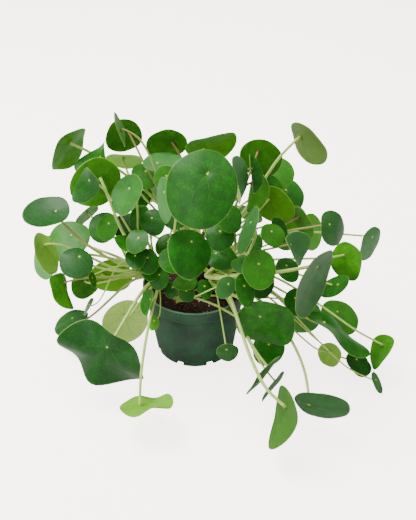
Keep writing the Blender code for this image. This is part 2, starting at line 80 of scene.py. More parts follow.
# %% Leaves of the frame
Leaf = namedtuple("Leaf", "name stem x y z length ratio azimuth elevation roll seat form")
LEAVES = [Leaf(*row) for row in (
    ("L1", "back", -202, 90, 326, 86, 0.90, 145, 20, 0, 0.35, "flat"),
    ("L2", "left", -155, 56, 324, 68, 0.90, -150, 40, -40, 0.40, "saddle"),
    ("L3", "left", -150, 10, 303, 86, 0.95, 110, 5, 30, 0.35, "cup"),
    ("L4", "back", -115, 110, 340, 62, 0.95, 105, 5, 55, 0.35, "flat"),
    ("L5", "back", -113, 50, 380, 60, 0.90, -175, -15, 120, 0.40, "flat"),
    ("L6", "back", -47, 120, 321, 68, 0.90, 90, 15, 60, 0.35, "flat"),
    ("L7", "back", -50, 80, 310, 64, 0.90, -90, 85, 120, 0.35, "flat"),
    ("L8", "back", -120, 140, 280, 68, 0.90, 90, 40, 0, 0.35, "flat"),
    ("L9", "left", -98, -15, 300, 68, 0.90, -145, 45, 40, 0.40, "cup"),
    ("L10", "side", -230, 0, 258, 76, 0.92, -90, 80, -60, 0.40, "cup"),
    ("L11", "side", -215, 60, 170, 80, 0.95, -115, 65, 0, 0.30, "flat"),
    ("L12", "side", -240, 0, 185, 72, 0.90, 175, -30, 60, 0.45, "flat"),
    ("L13", "side", -258, 68, 130, 80, 0.90, -140, 25, 0, 0.30, "flat"),
    ("L14", "side", -180, -60, 210, 54, 0.95, -70, 60, -35, 0.40, "dome"),
    ("L15", "side", -205, -40, 142, 64, 0.85, 180, -30, 55, 0.40, "fold"),
    ("L16b", "side", -140, 20, 125, 74, 0.92, 100, 5, -65, 0.45, "flat"),
    ("L18", "left", -106, 10, 230, 52, 0.95, -80, 60, -150, 0.40, "flat"),
    ("L19", "left", -95, -45, 230, 64, 0.80, 80, 75, 0, 0.30, "fold"),
    ("L21", "left", -42, -10, 208, 42, 0.92, -85, 65, 0, 0.30, "flat"),
    ("L22", "left", -4, -90, 248, 78, 0.90, -50, 40, -35, 0.45, "dome"),
    ("L23", "right", 12, -110, 368, 114, 0.85, -95, 40, -20, 0.40, "dome"),
    ("L28", "back", 28, 100, 327, 84, 0.92, 100, 30, -120, 0.35, "flat"),
    ("R1", "back", 107, 80, 315, 70, 0.95, 85, 0, -25, 0.40, "flat"),
    ("R2", "back", 133, 110, 270, 68, 0.92, -90, 55, 0, 0.30, "flat"),
    ("R3", "back", 158, 130, 218, 66, 0.92, -80, 55, 0, 0.30, "flat"),
    ("R4", "back", 130, 50, 246, 70, 0.92, 70, 0, -50, 0.40, "flat"),
    ("R5", "back", 177, 60, 352, 84, 0.88, 35, 15, -80, 0.45, "flat"),
    ("R7", "back", 88, 30, 286, 76, 0.80, 20, -10, 0, 0.30, "fold"),
    ("R8", "right", 60, -30, 336, 72, 0.80, -15, 10, 0, 0.30, "fold"),
    ("R10", "back", 177, 40, 218, 58, 0.90, 30, 5, -60, 0.40, "flat"),
    ("R11", "back", 200, 90, 168, 66, 0.90, -40, 25, 0, 0.30, "flat"),
    ("R12", "right", 220, -10, 240, 62, 0.90, -40, 25, 40, 0.45, "dome"),
    ("R13", "right", 249, 20, 153, 66, 0.90, 50, -15, -25, 0.40, "cup"),
    ("R14", "right", 297, 65, 160, 62, 0.90, -45, 5, -35, 0.40, "flat"),
    ("R15", "right", 152, -60, 235, 58, 0.85, -35, 20, 30, 0.40, "fold"),
    ("R18", "right", 43, -40, 208, 54, 0.92, -90, 75, 55, 0.40, "dome"),
    ("R20", "right", 87, -95, 236, 64, 0.90, 95, 80, -75, 0.40, "dome"),
    ("R21", "right", 172, -106, 208, 110, 0.80, -40, 0, -40, 0.45, "cup"),
    ("R25", "right", 110, -130, 144, 90, 0.95, -95, 0, 35, 0.40, "wave"),
    ("R29", "right", 247, -5, 58, 70, 0.90, -65, 70, 0, 0.30, "flat"),
    ("R30", "right", 232, -75, 81, 120, 0.50, 10, 55, -40, 0.45, "wave"),
    ("R31", "right", 223, -70, 30, 45, 0.90, 65, -10, 0, 0.30, "flat"),
    ("R32", "right", 270, -85, 25, 48, 0.90, -50, 60, 0, 0.30, "flat"),
    ("R33", "right", 303, -80, 45, 62, 0.85, 5, -30, -30, 0.40, "flat"),
    ("R36", "right", 190, -215, 58, 84, 0.85, -105, -15, 100, 0.45, "wave"),
    ("R37", "right", 132, -250, 68, 94, 0.62, 15, -25, -32, 0.40, "dome"),
    ("R40", "right", 52, -132, 90, 38, 0.92, -85, -5, 15, 0.40, "flat"),
    ("B1", "side", -215, 0, 42, 70, 0.90, 170, 70, 90, 0.30, "flat"),
    ("B2", "left", -142, -142, 90, 92, 1.60, -105, 12, -26, 0.48, "wave"),
    ("M1", "right", 101, -60, 175, 56, 0.90, -80, 50, 0, 0.30, "flat"),
    ("B4", "left", -113, -60, 92, 80, 0.92, 105, -10, 0, 0.30, "flat"),
    ("B6", "left", -70, -205, 50, 80, 0.90, -75, -65, 100, 0.25, "wave"),
    ("B14", "pup", -14, -60, 172, 38, 0.92, -80, 80, -65, 0.45, "flat"),
)]
longest = max(leaf.length for leaf in LEAVES)
print("leaves:", len(LEAVES), "and the longest blade is", round(longest / MM), "mm")

# %% [markdown]
# Leaves too young or too hidden to be worth a solid of their own still fill the crown. They are
# described the same way and only exist here. Those whose names start with K fill the back.

# %% Young and hidden leaves
YOUNG_LEAVES = [Leaf(*row) for row in (
    ("L16", "side", -188, 30, 100, 58, 0.90, 120, 0, 0, 0.30, "flat"),
    ("L17", "side", -162, -30, 154, 30, 0.60, -20, 15, 0, 0.30, "flat"),
    ("L18b", "side", -136, -10, 242, 44, 0.85, -120, 35, 0, 0.30, "flat"),
    ("L20", "left", -88, -40, 202, 34, 0.90, -80, 60, 0, 0.30, "flat"),
    ("L24", "left", -41, -62, 322, 66, 0.80, -153, 15, 32, 0.35, "flat"),
    ("L25", "left", -46, -20, 213, 40, 0.90, -90, 45, 0, 0.30, "flat"),
    ("L26", "back", -80, 60, 300, 52, 0.92, -80, 60, 0, 0.30, "flat"),
    ("L26b", "back", -42, 34, 300, 46, 0.90, -75, 40, 0, 0.30, "flat"),
    ("L27", "left", -82, 0, 250, 44, 0.80, -120, 30, 0, 0.30, "fold"),
    ("B5", "left", -63, -98, 121, 24, 0.90, -140, 30, 0, 0.30, "flat"),
    ("B7", "side", -178, -20, 91, 36, 0.70, -175, 30, 0, 0.30, "flat"),
    ("B9", "left", -68, -92, 156, 44, 0.70, -150, 20, 0, 0.30, "fold"),
    ("B11", "left", -70, -50, 204, 40, 0.85, -80, 50, 0, 0.30, "flat"),
    ("B12", "left", -60, -52, 178, 34, 0.70, -80, 50, 0, 0.30, "fold"),
    ("B13", "pup", -12, -62, 152, 28, 0.90, -80, 40, 0, 0.30, "flat"),
    ("B15", "left", -35, -40, 199, 42, 0.85, -70, 60, 0, 0.30, "flat"),
    ("B16", "left", -84, -28, 226, 40, 0.85, -110, 55, 0, 0.30, "flat"),
    ("B17", "left", -64, -8, 250, 44, 0.90, -100, 50, 20, 0.30, "dome"),
    ("R6", "back", 88, 0, 330, 60, 0.55, -27, 23, -27, 0.30, "fold"),
    ("R9", "right", 53, -10, 256, 48, 0.90, -60, 50, 0, 0.30, "flat"),
    ("R16", "right", 131, 20, 215, 44, 0.70, -40, 30, 0, 0.30, "fold"),
    ("R17", "right", 80, -85, 284, 72, 0.55, -166, 31, 26, 0.35, "flat"),
    ("R19", "right", 89, -50, 240, 38, 0.90, -90, 60, 0, 0.30, "flat"),
    ("R22", "right", 76, -78, 172, 50, 0.62, -60, 30, 0, 0.30, "flat"),
    ("R23", "pup", 48, -86, 183, 36, 0.80, -70, 30, -45, 0.35, "flat"),
    ("R24", "right", 40, -30, 238, 48, 0.90, -90, 50, 0, 0.30, "dome"),
    ("R26", "pup", 116, -122, 88, 60, 0.85, -90, 12, 0, 0.30, "flat"),
    ("R27", "pup", 160, -72, 142, 44, 0.85, -70, 40, 0, 0.30, "flat"),
    ("R28", "right", 180, -58, 98, 62, 0.95, -80, 15, 0, 0.30, "flat"),
    ("R34", "right", 292, -128, 22, 40, 0.55, -30, 30, 0, 0.30, "flat"),
    ("R35", "right", 226, -26, 138, 60, 0.60, -160, 40, -30, 0.30, "flat"),
    ("R38", "right", 106, -175, 84, 76, 0.95, -37, -22, -48, 0.35, "flat"),
    ("R39", "right", 121, -170, 54, 56, 0.95, -36, -18, -46, 0.35, "flat"),
    ("R41", "right", 96, -70, 204, 58, 0.85, -80, 45, 0, 0.30, "flat"),
    ("R42", "right", 120, -30, 240, 40, 0.90, -70, 55, 0, 0.30, "flat"),
    ("R43", "back", 166, 40, 222, 60, 0.90, -80, 40, 0, 0.30, "flat"),
    ("R45", "right", 146, -58, 196, 44, 0.85, -60, 60, 0, 0.30, "dome"),
    ("R47", "back", 118, 66, 262, 62, 0.90, -90, 35, 0, 0.30, "flat"),
    ("L29", "left", -30, 0, 262, 52, 0.90, -95, 40, 0, 0.30, "flat"),
    ("L30", "back", -100, 84, 250, 60, 0.90, -85, 30, 0, 0.30, "flat"),
    ("L31", "side", -150, 40, 210, 54, 0.90, -100, 50, 0, 0.30, "flat"),
    ("L33", "left", -158, -32, 330, 58, 0.70, -125, 20, -25, 0.35, "saddle"),
    ("K1", "back", -60, 118, 235, 70, 0.92, 120, 35, 0, 0.35, "flat"),
    ("K2", "back", 40, 125, 225, 72, 0.92, 75, 40, 0, 0.35, "dome"),
    ("K3", "back", 95, 118, 190, 60, 0.92, 60, 30, 0, 0.35, "flat"),
    ("K4", "back", -20, 124, 165, 60, 0.92, 95, 20, 0, 0.35, "dome"),
    ("K5", "back", 150, 95, 150, 54, 0.92, 50, 20, 0, 0.35, "flat"),
    ("K6", "back", -120, 120, 170, 62, 0.92, 130, 25, 0, 0.35, "flat"),
    ("K7", "back", 8, 90, 290, 64, 0.92, 80, 50, 0, 0.35, "dome"),
    ("K8", "side", -190, 95, 200, 56, 0.92, 140, 30, 0, 0.35, "flat"),
    ("K9", "back", 70, 90, 130, 44, 0.92, 70, 40, 0, 0.35, "flat"),
    ("K10", "back", -50, 96, 130, 42, 0.92, 110, 40, 0, 0.35, "flat"),
    ("N1", "left", -54, -45, 169, 36, 0.85, -95, 45, 0, 0.30, "flat"),
    ("N2", "pup", -35, -55, 153, 28, 0.85, -110, 50, 0, 0.30, "flat"),
    ("N3", "left", -68, -52, 186, 32, 0.80, -60, 55, 0, 0.30, "flat"),
    ("N4", "pup", 17, -70, 166, 30, 0.80, -70, 45, 0, 0.30, "dome"),
)]
print("young leaves:", len(YOUNG_LEAVES))

# %% [markdown]
# The camera comes first, so that every later look is taken from the same place. The plant is
# seen from a little above, from just over a metre away, with a short telephoto lens.

# %% Camera
CAMERA_TILT = math.radians(35.0)
CAMERA_REACH = 1.144  # metres from the point it looks at
CAMERA_LENS = 54.0
aim = Vector((0.0191, 0.0241, 0.1348))
camera_data = bpy.data.cameras.new("camera")
camera_data.lens = CAMERA_LENS
camera_data.sensor_width = 36.0
camera = bpy.data.objects.new("camera", camera_data)
toward_camera = Vector((0, -math.cos(CAMERA_TILT), math.sin(CAMERA_TILT)))
camera.location = aim + toward_camera * CAMERA_REACH
camera.rotation_euler = toward_camera.to_track_quat("Z", "Y").to_euler()
bpy.context.scene.collection.objects.link(camera)
bpy.context.scene.camera = camera
print("camera at", [round(v, 3) for v in camera.location])

# %% [markdown]
# A material here is a small network of nodes round one Principled shader. Colours are written
# as sRGB hex values, as a painter or a web page would give them, and one function turns them
# linear. One other function adds any node, sets it, wires it up and hands back its outputs, so
# a pattern reads from left to right as a chain of calls.

# %% Colours and nodes


def colour(hex_value):
    """sRGB hex to a linear RGBA colour."""
    parts = [int(hex_value[i:i + 2], 16) / 255 for i in (1, 3, 5)]
    linear = [c / 12.92 if c <= 0.04045 else ((c + 0.055) / 1.055) ** 2.4 for c in parts]
    return (*linear, 1.0)


def add(tree, kind, inputs=(), **settings):
    """Adds a node and returns its outputs.

    Inputs are values or other nodes' outputs, in the order of the sockets or under their names
    or numbers. Settings are the node's own properties.
    """
    made = tree.nodes.new("ShaderNode" + kind)
    for name, value in settings.items():
        setattr(made, name, value)
    for socket, value in inputs.items() if isinstance(inputs, dict) else enumerate(inputs):
        if isinstance(value, bpy.types.NodeSocket):
            tree.links.new(value, made.inputs[socket])
        else:
            made.inputs[socket].default_value = value
    return made.outputs


print("half grey #808080 is", round(colour("#808080")[0], 3), "in linear light")

# %% [markdown]
# Every finish ends the same way. Coats of colour are laid over a base, each as strong as its
# own pattern says, like glazes on a pot, and one relief is turned into bump. Values that are the
# same all over a surface, such as its roughness, are set on the shader itself.

# %% Start and finish of a material


def new_material(name, roughness, ior, **fixed):
    """A material, its tree and its Principled shader with the values that are the same all over."""
    mat = bpy.data.materials.new(name)
    mat.use_nodes = True
    tree = mat.node_tree
    shader = tree.nodes["Principled BSDF"]
    shader.inputs["Roughness"].default_value = roughness
    shader.inputs["IOR"].default_value = ior
    for socket, value in fixed.items():
        shader.inputs[socket.replace("_", " ")].default_value = value
    return mat, tree, shader


def paint(tree, shader, base, coats, relief, strength, depth_mm):
    """Lays coats of colour over a base, each as strong as its factor, and gives it a relief."""
    tone = colour(base)
    for factor, hex_value in coats:
        tone = add(tree, "Mix", {0: factor, 6: tone, 7: colour(hex_value)}, data_type="RGBA")[2]
    tree.links.new(tone, shader.inputs["Base Color"])
    bump = add(tree, "Bump", {"Strength": strength, "Distance": depth_mm / 1000, "Height": relief})[0]
    tree.links.new(bump, shader.inputs["Normal"])


print("materials that came with the frame:", len(bpy.data.materials))

# %% [markdown]
# ## Leaf skin
# A pilea leaf is fleshy and about a millimetre thick. Its upper side has a waxy cuticle: a
# smooth, half-gloss skin over mid green, which whitens a little where it mirrors the sky; on some
# leaves a whitish painted sheen in the colour adds to that. Faint veins spread from the pale dot
# where the stalk meets the blade. Each blade carries its own coordinates, measured from that dot,
# so veins and dot sit right on every leaf. Wax has an IOR near 1.45, and light that sinks into
# the flesh comes out greener: that is the subsurface part.

# %% Leaf patterns
VEIN_COUNT = 9
VEIN_WIDTH = 0.79 * MM  # wider than life, so that it shows
NET_CELL = 4.4 * MM  # between the fine net veins
MOTTLE = 14.08 * MM  # soft patches of lighter green
FLECK_CELL = 3.52 * MM  # small pale flecks
FLECK_SHARE = 0.30  # how strong a fleck is at most
SKIN_GRAIN = 0.733 * MM  # the cuticle's fine unevenness
DOT_RADIUS = 0.88 * MM
SEAT_DOT = "#cfe05c"


def leaf_skin(name, greens, roughness, vein_strength, coat):
    """One side of a leaf: mottled green, spreading veins, a net of fine ones and a pale edge."""
    mat, tree, shader = new_material(name, roughness, 1.45, Coat_Weight=coat, Coat_Roughness=0.30,
                                     Subsurface_Weight=0.25, Specular_IOR_Level=0.22)
    shader.inputs["Subsurface Radius"].default_value = (0.6, 1.0, 0.2)
    shader.inputs["Subsurface Scale"].default_value = 0.002
    place = add(tree, "Attribute", attribute_name="leaf_place")["Vector"]
    tint = add(tree, "Attribute", attribute_name="leaf_tint")["Vector"]
    along, aside, outward = add(tree, "SeparateXYZ", (place,))
    fresh, painted_light, _ = add(tree, "SeparateXYZ", (tint,))
    seeded = add(tree, "VectorMath", (place, tint), operation="ADD")[0]

    # soft patches, then the whole leaf's age, partly painted light and shade, and its painted light
    cloud = add(tree, "TexNoise", {"Vector": seeded, "Scale": 1 / MOTTLE, "Detail": 3.0})[0]
    patch = add(tree, "MapRange", (cloud, 0.30, 0.70, 0.05, 0.95))[0]
    # darker coat for old leaves, also laid on as painted shade
    old_and_shaded = add(tree, "MapRange", (fresh, 0.0, -1.0, 0.0, 1.0))[0]

    # how far a point lies from the nearest main vein: fold the angle round the dot, then widen
    # it with the distance from the dot
    flat = add(tree, "VectorMath", (place, (1.0, 1.0, 0.0)), operation="MULTIPLY")[0]
    reach = add(tree, "VectorMath", (flat,), operation="LENGTH")["Value"]
    bend = add(tree, "Math", (cloud, 0.5), operation="MULTIPLY")[0]
    off_vein = aside
    for operation, value in (("ARCTAN2", along), ("ADD", bend), ("MULTIPLY", VEIN_COUNT / 2),
                             ("SINE", 0.0), ("ABSOLUTE", 0.0), ("MULTIPLY", reach),
                             ("MULTIPLY", 2 / VEIN_COUNT)):
        off_vein = add(tree, "Math", (off_vein, value), operation=operation)[0]
    line = add(tree, "MapRange", (off_vein, VEIN_WIDTH * 0.2, VEIN_WIDTH, 1.0, 0.0))[0]
    fading = add(tree, "MapRange", (outward, 0.45, 0.95, 1.0, 0.0))[0]
    main_vein = add(tree, "Math", (line, fading), operation="MULTIPLY")[0]
    net = add(tree, "TexVoronoi", {"Vector": seeded, "Scale": 1 / NET_CELL},
              feature="DISTANCE_TO_EDGE")[0]
    net_vein = add(tree, "MapRange", (net, 0.02, 0.10, 0.45, 0.0))[0]
    veins = add(tree, "Math", (main_vein, net_vein), operation="MAXIMUM")[0]
    veins_seen = add(tree, "Math", (veins, vein_strength), operation="MULTIPLY")[0]

    # pale flecks, only in the lighter patches, and few on dark leaves
    cells = add(tree, "TexVoronoi", {"Vector": seeded, "Scale": 1 / FLECK_CELL})[0]
    fleck = add(tree, "MapRange", (cells, 0.08, 0.42, FLECK_SHARE, 0.0))[0]
    for where, *span in ((cloud, 0.35, 0.6, 0.0, 1.0), (fresh, -0.7, 0.0, 0.25, 1.0)):
        allowed = add(tree, "MapRange", (where, *span))[0]
        fleck = add(tree, "Math", (fleck, allowed), operation="MULTIPLY")[0]

    edge = add(tree, "MapRange", (outward, 0.985, 0.999, 0.0, 0.6))[0]
    dot = add(tree, "MapRange", (reach, DOT_RADIUS, 2 * DOT_RADIUS, 1.0, 0.0))[0]
    grain = add(tree, "TexNoise", {"Vector": seeded, "Scale": 1 / SKIN_GRAIN, "Detail": 2.0})[0]
    raised = add(tree, "Math", (grain, 0.3), operation="MULTIPLY")[0]
    relief = add(tree, "Math", (raised, veins), operation="SUBTRACT")[0]
    # The age coats also paint light and shade, and the whitish coat is painted sheen and light.
    coats = ((patch, greens["mid"]), (fresh, greens["fresh"]), (old_and_shaded, greens["dark"]),
             (painted_light, greens["painted_light"]), (fleck, greens["fresh"]), (veins_seen, greens["vein"]),
             (edge, greens["edge"]), (dot, SEAT_DOT))
    paint(tree, shader, greens["deep"], coats, relief, 0.25, 0.3)
    print("material:", name, "with", len(tree.nodes), "nodes")
    return mat


print("flecks every", round(FLECK_CELL / MM, 1), "mm, net veins every", round(NET_CELL / MM, 1), "mm")

# %% [markdown]
# The upper side is darker, smoother and waxier. The underside is matt and yellower, with veins
# that stand out more. Both are one recipe with two sets of greens: the deep and mid green of a
# grown leaf, the dark of an old one, which also serves as painted shade, the yellow-green of a
# fresh one, which also serves as painted light, and a whitish green of painted light alone: a
# painted sheen on the upper side and a paler lift on a shaded underside.

# %% Both sides of a leaf
# The whitish greens are painted light: a sheen on the upper side, a lift of a shaded underside.
UPPER_GREENS = {"dark": "#0b3a12", "deep": "#145008", "mid": "#207008", "fresh": "#58a808",
                "painted_light": "#568f52", "vein": "#4b8a28", "edge": "#94b858"}
UNDER_GREENS = {"dark": "#1c4a12", "deep": "#2f7404", "mid": "#459208", "fresh": "#86c41c",
                "painted_light": "#c9e87c", "vein": "#2c6010", "edge": "#a5c25c"}
upper_skin = leaf_skin("waxy_leaf_upper_skin", UPPER_GREENS, 0.46, 0.20, 0.05)
under_skin = leaf_skin("matt_leaf_underside", UNDER_GREENS, 0.58, 0.32, 0.02)

# %% [markdown]
# ## Stalk skin
# The stalks are smooth, juicy and pale yellow-green. On many leaves they blush to a pinkish
# brown toward the blade, and some are brown all the way down. A number carried along each
# stalk says how far up it is, and another how strongly that stalk blushes. Fine streaks run
# along it, so the pattern is squeezed round the stalk and stretched along it.

# %% Stalk skin
STREAK_LENGTH = 5.87 * MM
STREAKS_ROUND = 3.0  # to one radian of turn


def stalk_skin():
    """Pale green stalk with fine streaks along it and a brown-pink blush."""
    mat, tree, shader = new_material("juicy_leaf_stalk", 0.36, 1.42, Coat_Weight=0.15,
                                     Coat_Roughness=0.25, Subsurface_Weight=0.3)
    shader.inputs["Subsurface Radius"].default_value = (0.8, 1.0, 0.4)
    shader.inputs["Subsurface Scale"].default_value = 0.002
    place = add(tree, "Attribute", attribute_name="leaf_place")["Vector"]
    tint = add(tree, "Attribute", attribute_name="leaf_tint")["Vector"]
    up = add(tree, "SeparateXYZ", (place,))[0]
    blushing = add(tree, "SeparateXYZ", (tint,))[1]
    squeeze = (STREAKS_ROUND, STREAKS_ROUND, 1 / STREAK_LENGTH)
    stretched = add(tree, "VectorMath", (place, squeeze), operation="MULTIPLY")[0]
    streaks = add(tree, "TexNoise", {"Vector": stretched, "Scale": 1.0, "Detail": 2.0})[0]
    streak = add(tree, "MapRange", (streaks, 0.3, 0.7, 0.0, 1.0))[0]
    higher = add(tree, "MapRange", (up, 0.0, 1.0, 0.25, 1.0))[0]
    blush = add(tree, "Math", (higher, blushing), operation="MULTIPLY")[0]
    paint(tree, shader, "#a3c84e", ((streak, "#d2e888"), (blush, "#7d4a38")), streaks, 0.2, 0.3)
    print("material:", mat.name)
    return mat


stalk_mat = stalk_skin()

# %% [markdown]
# ## The form of a blade
# A blade faces some way, its tip points some way, and the third direction is across. From
# straight downhill the tip is rolled by a few degrees. The middle surface is then lifted into
# one of six forms, written as a height over the flat oval.

# %% Axes and forms


def leaf_axes(leaf):
    """Facing normal, tip direction and side direction of a blade."""
    az, el, turn = (math.radians(v) for v in (leaf.azimuth, leaf.elevation, leaf.roll))
    normal = Vector((math.cos(el) * math.cos(az), math.cos(el) * math.sin(az), math.sin(el)))
    down = Vector((0, 0, -1))
    downhill = (down - normal * down.dot(normal)).normalized()
    across = normal.cross(downhill)
    tip = downhill * math.cos(turn) + across * math.sin(turn)
    return tuple(np.array(v) for v in (normal, tip, normal.cross(tip)))


def form_height(form, a, b):
    """Height over the blade's plane at a along the tip and b across, all in half lengths."""
    rho = a * a + b * b
    heights = {
        "dome": -0.20 * rho,
        "cup": 0.16 * rho,
        "saddle": 0.30 * (a * a - b * b),
        "fold": 0.55 * np.abs(b) ** 1.4,
        "wave": -0.10 * rho + 0.10 * rho * np.sin(3 * np.arctan2(b, a) + 0.6),
        "flat": -0.07 * rho,
    }
    return heights[form]


print("the tip of a domed blade hangs", form_height("dome", 1.0, 0.0), "half lengths")

# %% [markdown]
# A real leaf is never regular. Its outline ripples a little, its surface has slow waves that
# grow toward the edge, and it dips where the stalk pulls on it. A few drooping leaves are
# strongly curled as well. The waves start from the letters of the leaf's name, so each leaf
# has its own and keeps it from run to run.

# %% Ripples, waves and curls
RIPPLES = ((2, 0.026, 1.0), (3, 0.020, 2.0), (5, 0.010, 3.0))  # how many, how high, share of seed
WAVES = ((2, 0.036, 1.0), (3, 0.028, 2.3), (6, 0.012, 1.0))
TIP_TAPER = 0.06
DIMPLE_DEPTH = 0.035
DIMPLE_RADIUS = 0.10

# depth of the folds, how many there are, and where round the blade they start
CURLS = {
    "B2": (0.17, 4, 0.9), "B6": (0.10, 4, 0.0), "L1": (0.10, 3, 0.6), "L15": (0.10, 3, 0.2),
    "L28": (0.10, 2, 1.0), "R5": (0.10, 2, 1.6), "R13": (0.08, 3, 0.5), "R15": (0.12, 2, 0.2),
    "R18": (0.12, 3, 1.0), "R30": (0.10, 3, 1.2), "R32": (0.12, 3, 0.3), "R33": (0.18, 2, 0.6),
    "R36": (-0.10, 3, 0.6), "R37": (0.14, 2, -1.57),
}


def blade_grid(leaf, parts, around, lively):
    """Middle surface of a blade in rings round its stalk's seat.

    Returns the points, and for each its place: along the tip and across from the seat, and
    which part of the way to the edge it is. Lively is 1 for a real leaf, 0 for a plain solid.
    """
    half = leaf.length / 2
    normal, tip, side = leaf_axes(leaf)
    turn = np.linspace(0, 2 * math.pi, around, endpoint=False)
    seed = sum(ord(c) for c in leaf.name) * 1.7
    ripple = 1 + lively * sum(high * np.sin(many * turn + share * seed)
                              for many, high, share in RIPPLES)
    edge_a = np.cos(turn) * ripple
    edge_b = leaf.ratio * np.sin(turn) * (1 - TIP_TAPER * np.cos(turn)) * ripple
    part = np.array(parts)[:, None]
    a = -leaf.seat + (edge_a + leaf.seat) * part
    b = edge_b * part
    reach = np.hypot(a, b)
    angle = np.arctan2(b, a)
    waves = sum(high * np.sin(many * angle + share * seed)
                for many, high, share in WAVES) * reach ** 2
    depth, folds, start = CURLS.get(leaf.name, (0.0, 2, 0.0))
    waves = waves + depth * np.sin(folds * angle + start) * reach ** 1.6
    from_seat = np.hypot(a + leaf.seat, b)
    dimple = DIMPLE_DEPTH - DIMPLE_DEPTH * np.exp(-((from_seat / DIMPLE_RADIUS) ** 2))
    height = form_height(leaf.form, a, b) + lively * (waves + dimple)
    points = (np.array((leaf.x, leaf.y, leaf.z), float)
              + half * (a[..., None] * tip + b[..., None] * side + height[..., None] * normal))
    place = np.stack([(a + leaf.seat) * half, b * half, np.broadcast_to(part, a.shape)], axis=-1)
    return points, place


print("curled blades:", len(CURLS))

# %% [markdown]
# Blades, stalks, stems, soil and pot are all made of rings of points with faces between them.
# A small gatherer collects points and faces, with two vectors for each point that the leaf
# materials read: its place on the leaf, and the leaf's own tint. It builds one mesh at the end.

# %% Gathering points and faces


class Shell:
    """Gathers the points and faces of one piece, with material numbers and leaf attributes."""

    def __init__(self):
        self.points, self.faces, self.slots, self.places, self.tints = [], [], [], [], []
        self.count = 0

    def add_points(self, points, places=(0, 0, 0), tint=(0, 0, 0)):
        """Adds points and returns the number of the first."""
        first = self.count
        points = np.asarray(points).reshape(-1, 3)
        self.points.append(points)
        self.places.append(np.broadcast_to(np.asarray(places).reshape(-1, 3), points.shape))
        self.tints.append(np.broadcast_to(tint, points.shape))
        self.count += len(points)
        return first

    def add_faces(self, faces, slot=0):
        """Adds faces that wear the material of a slot."""
        self.faces += faces
        self.slots += [slot] * len(faces)

    def build(self, name, materials):
        """The finished object, smooth and in metres."""
        mesh = bpy.data.meshes.new(name)
        mesh.from_pydata((np.concatenate(self.points) * UNIT).tolist(), [], self.faces)
        mesh.polygons.foreach_set("material_index", self.slots)
        mesh.polygons.foreach_set("use_smooth", [True] * len(self.faces))
        for label, rows in (("leaf_place", self.places), ("leaf_tint", self.tints)):
            layer = mesh.attributes.new(label, "FLOAT_VECTOR", "POINT")
            layer.data.foreach_set("vector", np.concatenate(rows).astype(np.float32).ravel())
        for mat in materials:
            mesh.materials.append(mat)
        mesh.update()
        piece = bpy.data.objects.new(name, mesh)
        bpy.context.scene.collection.objects.link(piece)
        return piece

    def search_tree(self):
        """A search tree, to ask what cuts through this shell."""
        return BVHTree.FromPolygons(np.concatenate(self.points).tolist(), self.faces)


def ring_faces(first, second, sides, turned):
    """Quads between two rings of points."""
    faces = []
    for k in range(sides):
        j = (k + 1) % sides
        quad = (first + k, second + k, second + j, first + j)
        faces.append(quad[::-1] if turned else quad)
    return faces


def fan_faces(middle, ring, sides, turned):
    """Triangles from one point to a ring."""
    faces = []
    for k in range(sides):
        corner = (middle, ring + k, ring + (k + 1) % sides)
        faces.append(corner[::-1] if turned else corner)
    return faces


print("faces between two rings of six:", len(ring_faces(0, 6, 6, False)))

# %% [markdown]
# ## Growing a blade
# The middle surface gets its thickness along its own normals, thinner toward the edge as in a
# real leaf, and a last ring a little further out rounds the edge off. The rings stand closer
# together near the dot and near the edge, where the surface bends most.

# %% Blade with two sides and an edge
BLADE_AROUND = 56
BLADE_PARTS = (0.035, 0.09, 0.18, 0.30, 0.43, 0.56, 0.68, 0.79, 0.88, 0.95, 1.0)
EDGE_THINNING = 0.22
EDGE_ROUNDING = 0.25
UPPER, UNDER, STALK = 0, 1, 2  # material slots of a leaf


def grid_normals(points, normal):
    """Normals of the ringed surface, turned to the blade's facing side."""
    round_way = np.roll(points, -1, axis=1) - np.roll(points, 1, axis=1)
    out_way = np.gradient(points, axis=0)
    normals = np.cross(out_way, round_way)
    normals /= np.linalg.norm(normals, axis=-1, keepdims=True) + 1e-12
    facing = np.sign((normals @ normal).mean())
    return normals * facing


def grow_blade(shell, leaf, tint):
    """Adds one blade to a shell; returns the seat of the stalk on its underside."""
    points, place = blade_grid(leaf, BLADE_PARTS, BLADE_AROUND, 1.0)
    normals = grid_normals(points, leaf_axes(leaf)[0])
    part = np.array(BLADE_PARTS)[:, None, None]
    half_thick = BLADE_THICKNESS * (0.5 - EDGE_THINNING * part ** 2)
    middle = points[0].mean(axis=0)
    up = normals[0].mean(axis=0)
    sides = BLADE_AROUND
    last_ring = (len(BLADE_PARTS) - 1) * sides
    rims = []
    for slot, sign in ((UPPER, 1), (UNDER, -1)):
        centre = shell.add_points(middle + sign * up * BLADE_THICKNESS * 0.5, (0, 0, 0), tint)
        first = shell.add_points(points + sign * normals * half_thick, place, tint)
        shell.add_faces(fan_faces(centre, first, sides, slot == UNDER), slot)
        for near in range(first, first + last_ring, sides):
            shell.add_faces(ring_faces(near, near + sides, sides, slot == UNDER), slot)
        rims.append(first + last_ring)
    outward = points[-1] - points[-2]
    outward /= np.linalg.norm(outward, axis=-1, keepdims=True)
    edge = shell.add_points(points[-1] + outward * EDGE_ROUNDING, place[-1], tint)
    shell.add_faces(ring_faces(rims[0], edge, sides, False), UPPER)
    shell.add_faces(ring_faces(edge, rims[1], sides, False), UNDER)
    return middle - up * BLADE_THICKNESS * 0.5


trial = Shell()
grow_blade(trial, LEAVES[0], (0, 0, 0))
print("one blade:", trial.count, "points,", len(trial.faces), "faces")

# %% [markdown]
# ## Finding the stalks
# The imported solid of each leaf already has its stalk, as rings of six corners, and that line
# is read back: the corners of the coarse blade are taken away, and from the seat the walk goes on
# to the nearest six corners, again and again.

# %% Stalk line of a solid
COARSE_AROUND = 12
COARSE_PARTS = {True: (0.42, 0.78, 1.0), False: (0.50, 1.0)}
LARGE_BLADE = 75.0
SOLID_STALK_SIDES = 6
SAME_CORNER = 0.08


